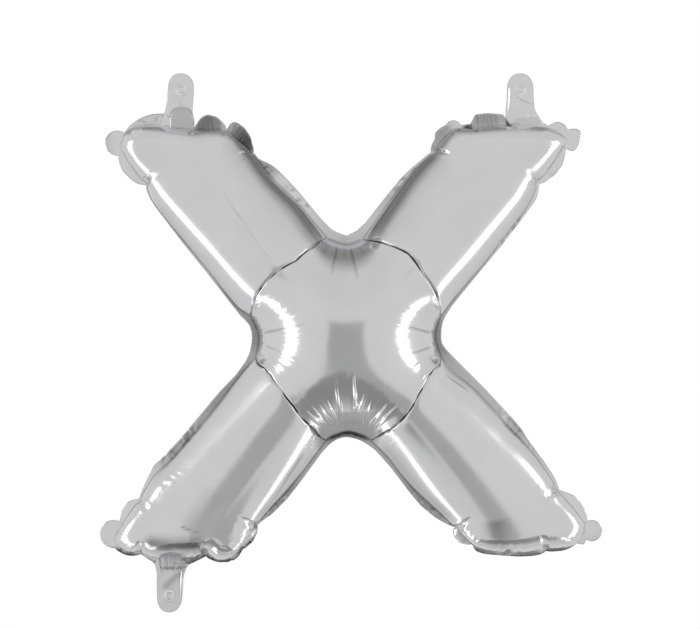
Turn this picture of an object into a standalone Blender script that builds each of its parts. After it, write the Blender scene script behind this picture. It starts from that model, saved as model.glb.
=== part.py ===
"""Silver foil letter balloon, the letter X, for filling with air.

Two foils are welded together along the letter's outline and blown up. The letter
faces -Y, stands upright along +Z and is 1:1. The origin is the middle of the line
between the two hanging holes, because that line is what holds the balloon up.
Sizes are in millimetres from the letter's own centre, and MM turns them into metres.
"""
from math import cos, hypot, pi, sin

import bpy
import bmesh
import numpy as np
from mathutils import Matrix

MM = 0.001

# Where the letter's centre lies below the line between the hanging holes
LETTER_CENTRE = (-3.0, -196.5)

# Depth of each foil in front of the seam plane: an arm near its end, how much more it has at its
# root and over which share of its length that fades, and the round centre
ARM_DEPTH = 38.0
ROOT_SWELL = 8.0
ROOT_REACH = 0.35
CENTRE_DEPTH = 60.0
CREASE_DEPTH = 3.0
RIM_HEIGHT = 2.0

# Where an arm starts to close and how full it stays, and how much squarer than round its section
# gets towards its end
END_START = 0.89
END_POWER = 4.0
END_FULLNESS = 0.24
FULL_START = 0.30

# How fast the small waves of a seam die out inwards, and the size that the centre's waves refer to
WAVE_FADE = 8
CENTRE_RADIUS = 76.0
CENTRE_WAVES = 20

# Thickness of the foils, of the welded margin and of the gap that parts share
FOIL_WALL = 1.0
BAND_THICKNESS = 1.0
TAB_THICKNESS = 1.0
FIT_GAP = 0.3
BAND_UNDERLAP = 1.6

# How finely the foils are divided
ACROSS_STEPS = 14
ARM_STEPS = 12
END_STEPS = 6
CROTCH_STEPS = 6
FIRST_STATION = 0.03
CENTRE_RINGS = (0.955, 0.86, 0.72, 0.56, 0.40, 0.24, 0.11)

# Seam line of each arm, walking clockwise: up one side, over the end, down the other. The crease
# where the arm tucks under the centre is given by its radii, evenly spaced from side to side.
ARM_SEAMS = {
    "upper_right": {
        "first": [(12.8, 76.4), (22.4, 90.4), (34.4, 107.2), (45.6, 122.4), (56, 134.4),
                  (67.6, 145.4), (70.4, 150), (74, 156), (79.6, 162), (88, 165.2)],
        "end": [(88, 165.2), (98.4, 164.8), (110.4, 165.8), (122.4, 167), (132, 167.6),
                (146.4, 168), (158.4, 166), (168, 160.8), (173.6, 155.2)],
        "second": [(173.6, 155.2), (174, 146.4), (168, 137.2), (159.2, 129.2), (152.8, 122.8),
                   (149.2, 113.6), (144, 102.8), (134.4, 89.6), (123.2, 75.2), (109.6, 57.6),
                   (96.8, 42.8), (84.4, 28), (74.8, 15.2)],
        "crease": (77.3, 78.4, 80.3, 76.6, 77.6, 77.2),
    },
    "lower_right": {
        "first": [(75.2, -18), (80, -26.4), (86.4, -32), (94.4, -37.6), (101.6, -43.6),
                  (110.4, -52.8), (120, -62.8), (128, -72.4), (139.2, -84), (147.2, -93.2),
                  (156, -104.8), (163.2, -116), (168.4, -124.4), (177.6, -130), (184.8, -136),
                  (188.8, -143.2), (190, -151.2)],
        "end": [(190, -151.2), (188.8, -158.4), (184.8, -164.4), (179.2, -168), (170.4, -169.8),
                (158.4, -170.4), (146.4, -172.8), (131.2, -173.2), (122.4, -172.8),
                (113.6, -171.6), (106.4, -169.6), (101.2, -165.2)],
        "second": [(101.2, -165.2), (95.2, -164), (90.4, -160), (88.4, -153.6), (79.2, -146.4),
                   (70.4, -138.8), (60.8, -130.4), (52, -121.6), (42.4, -110.4), (34.4, -100),
                   (26.4, -91.2), (18.4, -84)],
        "crease": (77.0, 71.9, 72.8, 77.5, 81.5, 83.4),
    },
    "lower_left": {
        "first": [(-16, -84), (-23.2, -92.8), (-32, -104.8), (-40, -114.8), (-49.6, -126),
                  (-60, -136.8), (-72.8, -151.6), (-75.2, -158.8), (-79.2, -164.8),
                  (-83.6, -168.8)],
        "end": [(-83.6, -168.8), (-88, -174.8), (-94.4, -178), (-104, -178.8), (-112.4, -173.6),
                (-121.6, -177.2), (-137.6, -178), (-153.6, -177.6), (-164.8, -173.2),
                (-173.6, -173.8), (-182.8, -168.4)],
        "second": [(-182.8, -168.4), (-183.2, -158.4), (-180.4, -148.8), (-174.4, -138.8),
                   (-165.6, -130.8), (-160, -122.4), (-154.8, -113.6), (-141.6, -100.8),
                   (-124.4, -81.2), (-113.2, -68), (-100.4, -52), (-88.8, -36.8), (-80, -26),
                   (-72.8, -18)],
        "crease": (84.0, 76.0, 69.5, 67.0, 68.0, 74.0),
    },
    "upper_left": {
        "first": [(-76.8, 15.2), (-85.6, 20.8), (-95.2, 31.6), (-107.2, 47.2), (-120.8, 64),
                  (-132, 77.6), (-144.8, 93.2), (-154.4, 106.4), (-158.8, 115.2), (-159.6, 119.6),
                  (-169.6, 126.8), (-177.6, 134.4), (-180.4, 141.6), (-180, 151.2)],
        "end": [(-180, 151.2), (-177.6, 160.4), (-171.2, 165.2), (-163.2, 167.2), (-153.6, 167.6),
                (-143.2, 166.2), (-132.8, 164.6), (-123.2, 163.4), (-113.6, 164), (-103.2, 163.8),
                (-95.6, 163)],
        "second": [(-95.6, 163), (-85.6, 154.8), (-75.2, 145.4), (-67.2, 134.4), (-57.6, 123.2),
                   (-46.4, 112.4), (-38.4, 104.8), (-27.2, 90.8), (-16.4, 77.6)],
        "crease": (77.4, 78.2, 76.2, 73.6, 71.0, 74.2, 76.5),
    },
}
ARM_ORDER = ("upper_right", "lower_right", "lower_left", "upper_left")

# Middle of each crotch seam, between one arm and the next one clockwise
CROTCH_MIDDLES = ((70.7, 0), (0, -78.5), (-70.7, 0), (0, 72.5))

# Outer edge of the welded margin, clockwise from the top crotch. Each corner is
# (x, z, rise), where rise is how far the run to the next corner bows outwards.
BAND_EDGE = (
    (0, 79.6, 0), (8, 83.6, 0), (15.2, 90.4, 0), (30.4, 110, 0), (42.4, 124.6, 0.3),
    (54.4, 136, 0.2), (67, 146.2, 0.2), (67.4, 150.8, 0.3), (70, 156, -0.2), (70.4, 161.2, 0.8),
    (79.2, 168, 1), (85.2, 171.8, 1), (91.2, 168, 0), (98.8, 169, 0), (102.4, 176.2, 0.2),
    (112.8, 177.4, 0.2), (124.8, 176.3, 0), (130, 169.5, 0), (158.5, 169.2, 0.2),
    (160.8, 167.2, 0.3), (164.8, 169.4, 0.9), (171.2, 169.9, 0.9), (176.4, 164.4, 0.2),
    (180.8, 165.1, 0.6), (186, 163.6, 0.8), (187.2, 158.4, 0.6), (184.4, 150, 1),
    (178.8, 147.6, 0.8), (175.2, 150.4, 0), (175.2, 148, 0.4), (173.6, 139.6, 0.7),
    (169.6, 132.8, 0.8), (163.2, 126, 0.6), (154.4, 120.8, 0), (153.8, 119.2, 0.3),
    (152.6, 111.6, 0.5), (147.6, 103.2, 0.2), (136, 87.8, 0), (122.4, 70, 0), (106.4, 50.8, 0),
    (92, 33.2, -0.2), (81.6, 19.6, -0.3), (76.8, 10.4, -0.3), (75.6, 0.8, -0.2),
    (76.2, -6.4, -0.3), (80.8, -13, 0), (94.4, -26.8, 0), (110.4, -42.8, 0), (124.8, -58.4, 0.2),
    (138.4, -73.6, 0.2), (144, -82.4, 0), (154.4, -96.4, 0.3), (163.2, -108.8, 0.5),
    (168.4, -119.2, 0.2), (169.6, -123.6, 0), (178.4, -126.8, 0.8), (185.6, -132.4, 0.8),
    (190.4, -140.4, 0.8), (192.2, -148.8, 12.4), (191.6, -163.6, 0), (190.4, -166.4, 0.8),
    (186.4, -166.8, 0.4), (184, -166.4, 0.2), (178.4, -170.4, 0.6), (168.8, -172.8, 0.4),
    (159.2, -172.8, 0.3), (154.4, -175.6, 0.3), (144.8, -177, 0.3), (131.2, -176.8, 0.2),
    (114.4, -175.6, 0.4), (105.6, -173.8, 1), (100.8, -168.4, 0), (99.6, -167.2, 0.5),
    (94, -167.2, 0.9), (88, -163.6, 0.9), (85.4, -157.6, 0.8), (86.8, -154.2, 0),
    (80.8, -151.6, 0.2), (70.4, -145.6, 0.3), (58.4, -135.6, 0.2), (46.4, -121.2, 0),
    (34.4, -105.2, 0), (23.2, -92.8, -0.3), (12, -84.8, -0.5), (0, -81.6, -0.5), (-8, -83.4, -0.4),
    (-15.2, -88.8, -0.3), (-22.4, -97.2, 0), (-37.6, -118, 0), (-46.4, -129.2, 0.2),
    (-58.4, -141.6, 0.3), (-68, -148.8, 0), (-71.4, -151.8, 0), (-71.6, -155.2, 0.4),
    (-74.4, -162.8, 0.7), (-79.2, -168.4, 0.5), (-82.8, -170.8, 0), (-85.6, -175.2, 0.3),
    (-88.8, -178.8, 0.4), (-93.2, -180.4, 0), (-94.8, -181.6, 0), (-101.6, -181.8, 0.4),
    (-108.4, -179.8, 0.4), (-112.8, -176.8, 0), (-119.2, -180, 0), (-125.6, -183, 0),
    (-154.8, -181.8, 0), (-160, -178.6, 0), (-165, -175.2, 0), (-166.8, -175.8, 0.5),
    (-174.8, -176.4, 0.5), (-181.6, -173.8, 0.4), (-185.8, -170.4, 14), (-182.2, -148.8, 0),
    (-180.4, -140.8, 0.5), (-176, -134.2, 0.8), (-167.6, -131.2, 0), (-166.4, -130, 0),
    (-163.2, -122, -0.1), (-160, -114.4, 0), (-155.6, -105.6, 0.3), (-149.6, -100, 0.2),
    (-146.4, -96.8, 0), (-133.6, -83.2, 0), (-117.6, -64, 0), (-101.6, -44.8, 0),
    (-88.8, -31.6, 0), (-81.6, -21.6, -0.3), (-77.6, -11.2, -0.3), (-76.4, 0.4, -0.3),
    (-78.4, 8, -0.3), (-84.8, 14.8, 0), (-93.6, 26, 0), (-113.6, 51.6, 0), (-133.6, 76.4, 0),
    (-145.6, 92.4, 0.2), (-156, 106.4, 0.3), (-160.4, 116, 0.2), (-161.2, 119.8, 0),
    (-168, 121.2, 0.5), (-176, 127.6, 0.6), (-182, 135.6, 0.5), (-183, 143.6, 13.2),
    (-178, 162, 0), (-174.8, 166.4, 0.3), (-168.8, 171.2, 0.4), (-160.8, 175.2, 0.3),
    (-152, 177.2, 0), (-146.2, 177.2, 0), (-123, 165.2, 0), (-118.4, 171.6, 0.4),
    (-113.6, 175.2, 0.8), (-108, 175.2, 0.8), (-101.6, 172, 0.8), (-96.4, 165.4, 0),
    (-94.8, 164.6, 0), (-93.6, 168.8, 0.3), (-90.4, 170.4, 0.6), (-84.8, 167.6, 0.7),
    (-79.2, 161.6, 0.7), (-76, 153.6, 0.4), (-74.5, 146, 0), (-71.2, 141.4, 0),
    (-61.6, 136.8, 0.3), (-53.6, 130.4, 0.2), (-37.6, 113.4, 0), (-21.6, 94, -0.2),
    (-12, 84.4, -0.4),
)
ARC_STEP = 4.0

# Outline of each tab, with the same rise per run, starting and ending at the margin
TABS = {
    "hanging_tab_left": {
        "edge": [(-146, 177.5, -0.3), (-143.2, 198, 4), (-132.8, 209.4, 4), (-122.4, 198, 0.4),
                 (-123.3, 165.8, 0)],
        "hole": (-133, 196.5),
    },
    "hanging_tab_right": {
        "edge": [(130.4, 169.9, 0.4), (126.8, 178, 0), (128, 198, 4), (138.6, 209.4, 4),
                 (149.2, 198, 0), (150.6, 180, -1.2), (158.2, 169.6, 0)],
        "hole": (139, 196.5),
    },
    "inflation_tab": {
        "edge": [(-125.9, -183.4, -0.8), (-129.8, -190.5, 0), (-131.9, -210, 4),
                 (-142.3, -221.8, 4), (-152, -210, 0), (-152.4, -190, -0.3),
                 (-154.6, -182.2, 0)],
        "hole": (-142.5, -208.5),
    },
}
HOLE_RADIUS = 4.0
HOLE_STEPS = 20
DISC_RING_RADIUS = 2.5
DISC_RING_HEIGHT = 0.4
DISC_RING_WIDTH = 0.6


def clear_scene():
    for item in list(bpy.data.objects):
        bpy.data.objects.remove(item, do_unlink=True)


def make_material(name, colour, roughness, metallic):
    material = bpy.data.materials.new(name)
    material.use_nodes = True
    shader = material.node_tree.nodes["Principled BSDF"]
    shader.inputs["Base Color"].default_value = (*colour, 1.0)
    shader.inputs["Roughness"].default_value = roughness
    shader.inputs["Metallic"].default_value = metallic
    return material


def to_world(x, y, z):
    """Millimetres from the letter's centre to metres from the origin."""
    return ((x + LETTER_CENTRE[0]) * MM, y * MM, (z + LETTER_CENTRE[1]) * MM)


def walk(points, fractions):
    """Positions at the given fractions of the length of a smooth line through points."""
    knots = np.asarray(points, float)
    length = np.concatenate([[0], np.cumsum(np.hypot(*np.diff(knots, axis=0).T))])
    slopes = np.gradient(knots, length, axis=0, edge_order=1)
    where = np.clip(np.asarray(fractions, float), 0, 1) * length[-1]
    index = np.clip(np.searchsorted(length, where, side="right") - 1, 0, len(length) - 2)
    span = (length[index + 1] - length[index])[:, None]
    u = ((where - length[index])[:, None]) / span
    first, last = knots[index], knots[index + 1]
    start, finish = slopes[index] * span, slopes[index + 1] * span
    return ((2 * u**3 - 3 * u**2 + 1) * first + (u**3 - 2 * u**2 + u) * start
            + (3 * u**2 - 2 * u**3) * last + (u**3 - u**2) * finish)


def bowed_run(start, finish, rise):
    """Points from start up to finish along an arc that bows left of the way walked."""
    start, finish = np.array(start, float), np.array(finish, float)
    chord = finish - start
    length = hypot(*chord)
    left = np.array([-chord[1], chord[0]]) / length
    steps = max(1, round((length + 2 * abs(rise)) / ARC_STEP)) if rise else 1
    u = np.arange(steps) / steps
    if not rise:
        return start + u[:, None] * chord
    half_angle = 2 * np.arctan2(abs(rise), length / 2)
    radius = length / 2 / sin(half_angle)
    angle = (2 * u - 1) * half_angle
    along = length / 2 + radius * np.sin(angle)
    height = radius * (np.cos(angle) - cos(half_angle))
    return start + along[:, None] * chord / length + np.sign(rise) * height[:, None] * left


def bowed_line(corners, closed):
    """All the points of a line of bowed runs."""
    pairs = zip(corners, corners[1:] + corners[:1] if closed else corners[1:])
    runs = [bowed_run(here[:2], there[:2], here[2]) for here, there in pairs]
    if not closed:
        runs.append(np.array([corners[-1][:2]], float))
    return np.concatenate(runs)


def arm_stations():
    """Fractions along an arm, closer together towards its end, and how deep it still is there."""
    straight = END_START * (1 - (1 - np.linspace(0, 1, ARM_STEPS + 1)[:-1])**1.5)
    straight = np.insert(straight, 1, FIRST_STATION)
    closing = np.sin(np.linspace(0, pi / 2, END_STEPS + 1))
    depth = np.concatenate([np.ones(len(straight)), (1 - closing**END_POWER)**0.5])
    return np.concatenate([straight, END_START + (1 - END_START) * closing]), depth


def even_side(points, along):
    """A side seam without its small waves: its chord plus the cubic bow that fits it best."""
    bow = along * (1 - along)
    terms = np.stack([bow, bow * along], axis=1)
    chord = points[0] + along[:, None] * (points[-1] - points[0])
    return chord + terms @ np.linalg.lstsq(terms, points - chord, rcond=None)[0]


def arm_grid(seams):
    """Plan positions (stations, across, 2) and depths (stations, across) of one arm."""
    along, depth_along = arm_stations()
    turn = np.linspace(0, pi, ACROSS_STEPS + 1)
    across = (1 - np.cos(turn)) / 2
    first = walk(seams["first"], along)
    second = walk(seams["second"][::-1], along)
    end = walk(seams["end"], across)
    crease = crease_line(first[0], second[0], across, seams["crease"])
    s, t = along[:, None, None], across[None, :, None]
    sides = (1 - t) * first[:, None] + t * second[:, None]
    ends = (1 - s) * crease[None] + s * end[None]
    corners = ((1 - s) * ((1 - t) * first[0] + t * second[0])
               + s * ((1 - t) * first[-1] + t * second[-1]))
    waves = (((1 - t)**WAVE_FADE - (1 - t)) * (first - even_side(first, along))[:, None]
             + (t**WAVE_FADE - t) * (second - even_side(second, along))[:, None])
    deep = ARM_DEPTH - RIM_HEIGHT + ROOT_SWELL * np.exp(-along / ROOT_REACH)
    fuller = np.clip((along - FULL_START) / (1 - FULL_START), 0, 1)
    power = 1 - END_FULLNESS * fuller**2 * (3 - 2 * fuller)
    depth = (deep * depth_along)[:, None] * np.clip(np.sin(turn), 0, 1)[None]**power[:, None]
    return sides + ends - corners + waves, depth


def wave_terms(plan):
    """Values of the waves that a film stretched over a rim can take, at plan positions."""
    place = (plan[..., 0] + 1j * plan[..., 1]) / CENTRE_RADIUS
    powers = place[..., None]**np.arange(1, CENTRE_WAVES + 1)
    return np.concatenate([np.ones(powers.shape[:-1] + (1,)), powers.real, powers.imag], axis=-1)


def centre_depths(plan, rim_plan, rim_depth):
    """Depth of the centre: a film stretched over its rim, blown up as a paraboloid."""
    def bowl(place):
        return 1 - (place[..., 0]**2 + place[..., 1]**2) / CENTRE_RADIUS**2

    fit = np.linalg.lstsq(wave_terms(rim_plan), np.stack([rim_depth, bowl(rim_plan)], axis=1),
                          rcond=None)[0]
    top = (CENTRE_DEPTH - RIM_HEIGHT - fit[0, 0]) / (1 - fit[0, 1])
    return wave_terms(plan) @ (fit[:, 0] - top * fit[:, 1]) + top * bowl(plan)


def crease_line(start, finish, across, radii):
    """Kinked arc about the letter's centre from one seam to the other."""
    first, last = np.arctan2(start[1], start[0]), np.arctan2(finish[1], finish[0])
    last = first - (first - last) % (2 * pi)
    angle = first + across * (last - first)
    ends = (1 - across) * hypot(*start) + across * hypot(*finish)
    bow = np.clip(np.sin(pi * across) * 3, 0, 1)
    kinked = np.interp(across, np.linspace(0, 1, len(radii)), radii)
    radius = (1 - bow) * ends + bow * kinked
    return np.stack([radius * np.cos(angle), radius * np.sin(angle)], axis=1)


def foil_mesh(name, side):
    """Open surface of one foil: four arms and the round centre, joined at the creases."""
    points, faces, lookup = [], [], {}

    def vertex(plan, depth):
        key = (round(plan[0], 3), round(plan[1], 3), round(depth, 3))
        if key not in lookup:
            lookup[key] = len(points)
            points.append(to_world(plan[0], side * (RIM_HEIGHT + depth), plan[1]))
        return lookup[key]

    def strip(rows):
        for lower, upper in zip(rows, rows[1:]):
            for j in range(len(lower) - 1):
                corner = [lower[j], lower[j + 1], upper[j + 1], upper[j]]
                face = [v for i, v in enumerate(corner) if v != corner[i - 1]]
                if len(face) > 2:
                    faces.append(face if side < 0 else face[::-1])

    rim_plan, rim_depth, sunk = [], [], []
    for arm, middle in zip(ARM_ORDER, CROTCH_MIDDLES):
        plan, depth = arm_grid(ARM_SEAMS[arm])
        rim_plan += list(plan[0])
        rim_depth += list(depth[0])
        depth[0] -= CREASE_DEPTH * np.sin(np.linspace(0, pi, ACROSS_STEPS + 1))
        sunk += list(depth[0])
        rows = [[vertex(p, d) for p, d in zip(prow, drow)] for prow, drow in zip(plan, depth)]
        strip(rows)
        following = ARM_SEAMS[ARM_ORDER[(ARM_ORDER.index(arm) + 1) % 4]]["first"][0]
        crotch = walk([plan[0, -1], middle, following], np.linspace(0, 1, CROTCH_STEPS + 1))
        rim_plan += list(crotch[1:-1])
        rim_depth += [0.0] * (CROTCH_STEPS - 1)
        sunk += [0.0] * (CROTCH_STEPS - 1)
    rim_plan, rim_depth = np.array(rim_plan), np.array(rim_depth)
    rings = [[vertex(p, d) for p, d in zip(rim_plan, sunk)]]
    for ring in CENTRE_RINGS:
        plan = rim_plan * ring
        depth = centre_depths(plan, rim_plan, rim_depth)
        rings.append([vertex(p, d) for p, d in zip(plan, depth)])
    rings.append([vertex((0, 0), CENTRE_DEPTH - RIM_HEIGHT)] * len(rim_plan))
    strip([(ring + ring[:1])[::-1] for ring in rings])

    mesh = bpy.data.meshes.new(name)
    mesh.from_pydata(points, [], faces)
    mesh.validate()
    return mesh


def build_foil(name, side, material, collection):
    """One foil as a shell, with a short straight rim that stands on the margin."""
    mesh = foil_mesh(name, side)
    work = bmesh.new()
    work.from_mesh(mesh)
    rim = [edge for edge in work.edges if edge.is_boundary]
    drawn = bmesh.ops.extrude_edge_only(work, edges=rim)["geom"]
    seat = side * (BAND_THICKNESS / 2 + FIT_GAP) * MM
    for item in drawn:
        if isinstance(item, bmesh.types.BMVert):
            item.co.y = seat
    bmesh.ops.recalc_face_normals(work, faces=work.faces)
    work.to_mesh(mesh)
    work.free()
    mesh.shade_smooth()
    foil = bpy.data.objects.new(name, mesh)
    collection.objects.link(foil)
    mesh.materials.append(material)
    wall = foil.modifiers.new("foil thickness", "SOLIDIFY")
    wall.thickness = FOIL_WALL * MM
    wall.offset = -1
    return foil


def seam_line():
    """The foils' rim, clockwise, as plan positions."""
    along, _ = arm_stations()
    across = (1 - np.cos(np.linspace(0, pi, ACROSS_STEPS + 1))) / 2
    line = []
    for arm, middle in zip(ARM_ORDER, CROTCH_MIDDLES):
        seams = ARM_SEAMS[arm]
        following = ARM_SEAMS[ARM_ORDER[(ARM_ORDER.index(arm) + 1) % 4]]["first"][0]
        line.append(walk(seams["first"], along)[:-1])
        line.append(walk(seams["end"], across)[:-1])
        line.append(walk(seams["second"][::-1], along)[::-1][:-1])
        corners = [seams["second"][-1], middle, following]
        line.append(walk(corners, np.linspace(0, 1, CROTCH_STEPS + 1))[:-1])
    return np.concatenate(line)


def inset(line, distance):
    """A closed clockwise line moved to its inner side, without the loops of its tight corners."""
    step = np.roll(line, -1, axis=0) - np.roll(line, 1, axis=0)
    step /= np.hypot(step[:, 0], step[:, 1])[:, None]
    moved = line + distance * np.stack([step[:, 1], -step[:, 0]], axis=1)
    nearest = np.min(np.linalg.norm(moved[:, None] - line[None], axis=2), axis=1)
    return moved[nearest > distance * 0.98]


def flat_piece(name, lines, thickness, material, collection):
    """A flat piece in the seam plane: the first line is its edge, the others are holes."""
    curve = bpy.data.curves.new(name, "CURVE")
    curve.dimensions = "2D"
    curve.fill_mode = "BOTH"
    curve.extrude = thickness / 2 * MM
    for line in lines:
        spline = curve.splines.new("POLY")
        spline.points.add(len(line) - 1)
        for point, (x, z) in zip(spline.points, line):
            wx, _, wz = to_world(x, 0, z)
            point.co = (wx, wz, 0, 1)
        spline.use_cyclic_u = True
    shape = bpy.data.objects.new(name + "_outline", curve)
    collection.objects.link(shape)
    shape.matrix_world = Matrix.Rotation(pi / 2, 4, "X")
    bpy.context.view_layer.update()
    mesh = bpy.data.meshes.new_from_object(
        shape.evaluated_get(bpy.context.evaluated_depsgraph_get()))
    work = bmesh.new()
    work.from_mesh(mesh)
    bmesh.ops.remove_doubles(work, verts=work.verts, dist=0.00001)
    bmesh.ops.recalc_face_normals(work, faces=work.faces)
    work.to_mesh(mesh)
    work.free()
    piece = bpy.data.objects.new(name, mesh)
    collection.objects.link(piece)
    piece.matrix_world = shape.matrix_world.copy()
    bpy.data.objects.remove(shape, do_unlink=True)
    mesh.materials.clear()
    mesh.materials.append(material)
    return piece


def circle(centre, radius, steps):
    angle = np.arange(steps) * 2 * pi / steps
    return np.stack([centre[0] + radius * np.cos(angle),
                     centre[1] + radius * np.sin(angle)], axis=1)


def build_disc(name, centre, material, collection):
    """The round piece that is cut but left in each hole, turned with a raised ring."""
    half = TAB_THICKNESS / 2
    inner = DISC_RING_RADIUS - DISC_RING_WIDTH
    outer = DISC_RING_RADIUS + DISC_RING_WIDTH
    edge = HOLE_RADIUS - FIT_GAP
    profile = [(0, half), (inner, half), (DISC_RING_RADIUS, half + DISC_RING_HEIGHT),
               (outer, half), (edge, half), (edge, -half), (outer, -half),
               (DISC_RING_RADIUS, -half - DISC_RING_HEIGHT), (inner, -half), (0, -half)]
    mesh = bpy.data.meshes.new(name)
    points = [(r * MM, 0, h * MM) for r, h in profile]
    edges = [(i, i + 1) for i in range(len(points) - 1)]
    mesh.from_pydata(points, edges, [])
    disc = bpy.data.objects.new(name, mesh)
    collection.objects.link(disc)
    disc.location = to_world(centre[0], 0, centre[1])
    disc.rotation_euler = (pi / 2, 0, 0)
    turn = disc.modifiers.new("turned", "SCREW")
    turn.steps = HOLE_STEPS
    turn.render_steps = HOLE_STEPS
    turn.use_merge_vertices = True
    turn.merge_threshold = 0.0001
    mesh.materials.append(material)
    return disc


def main():
    clear_scene()
    collection = bpy.data.collections.new("foil_letter_balloon")
    bpy.context.scene.collection.children.link(collection)
    silver = make_material("silver_foil", (0.62, 0.62, 0.63), 0.18, 1.0)
    margin = make_material("welded_margin", (0.58, 0.58, 0.59), 0.26, 1.0)
    tab = make_material("tab_foil", (0.66, 0.66, 0.67), 0.35, 0.9)

    build_foil("front_foil", -1, silver, collection)
    build_foil("back_foil", 1, silver.copy(), collection)
    outer = bowed_line(list(BAND_EDGE), closed=True)
    flat_piece("seam_band", [outer, inset(seam_line(), BAND_UNDERLAP)], BAND_THICKNESS,
               margin, collection)
    for name, sizes in TABS.items():
        edge = bowed_line(sizes["edge"], closed=False)
        hole = circle(sizes["hole"], HOLE_RADIUS, HOLE_STEPS)
        flat_piece(name, [edge, hole], TAB_THICKNESS, tab.copy(), collection)
        disc_name = name.replace("tab", "hole_disc")
        build_disc(disc_name, sizes["hole"], tab.copy(), collection)


main()
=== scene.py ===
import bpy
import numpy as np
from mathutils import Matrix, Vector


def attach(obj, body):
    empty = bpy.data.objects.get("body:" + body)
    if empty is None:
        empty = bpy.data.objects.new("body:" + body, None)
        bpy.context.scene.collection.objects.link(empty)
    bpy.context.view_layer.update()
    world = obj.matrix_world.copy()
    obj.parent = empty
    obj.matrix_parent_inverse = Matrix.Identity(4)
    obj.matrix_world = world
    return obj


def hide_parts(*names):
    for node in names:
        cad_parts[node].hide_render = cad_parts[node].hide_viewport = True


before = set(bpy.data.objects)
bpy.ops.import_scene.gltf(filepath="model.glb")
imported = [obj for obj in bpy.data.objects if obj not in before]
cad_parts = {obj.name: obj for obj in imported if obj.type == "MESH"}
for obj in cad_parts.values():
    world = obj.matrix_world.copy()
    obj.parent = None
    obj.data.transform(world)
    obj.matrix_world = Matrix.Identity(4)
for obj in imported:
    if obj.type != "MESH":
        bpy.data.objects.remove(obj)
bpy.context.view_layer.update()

# Silver foil letter balloon, the letter X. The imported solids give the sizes; this script gives each
# foil, the welded margin, the tabs and their cut discs a fine surface with its folds, and their finish.
# Shapes are worked out in millimetres from the letter's own centre, as plan (x, z) and height.

letter = {
    "centre": (-3.0, -196.5),      # mm, from the middle of the line between the hanging holes
    "armDepth": 38.0,              # how far an arm stands in front of the seam, at its end
    "centreDepth": 60.0,           # the same for the round middle
    "creaseShare": 0.985,          # height left where an arm meets the middle
    "creaseReach": 2.5,            # mm over which an arm sinks into that crease
    "rootSwell": 8.0,              # mm that it is deeper at the middle, where it widens
    "rootReach": 0.35,             # share of its length over which that fades
    "wiggleFade": 8,               # how fast the seam's small waves die out inwards, as a power
    "endStart": 0.86,              # share of an arm's length where its middle line starts to close
    "endPower": 2.8,               # 2 closes it as a round, more keeps it full for longer
    "cornerPower": 2.0,            # the same beside the seams
    "cornerFullness": 0.62,        # how much squarer the section gets towards the corners
    "cornerStart": 0.74,           # share of its length where that begins
    "endFullness": 0.36,           # how much squarer than round its section gets at the end
    "fullStart": 0.30,             # share of its length where that begins
    "edgeFade": 1.5,               # mm from the seam over which folds and crimps begin
}

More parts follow.
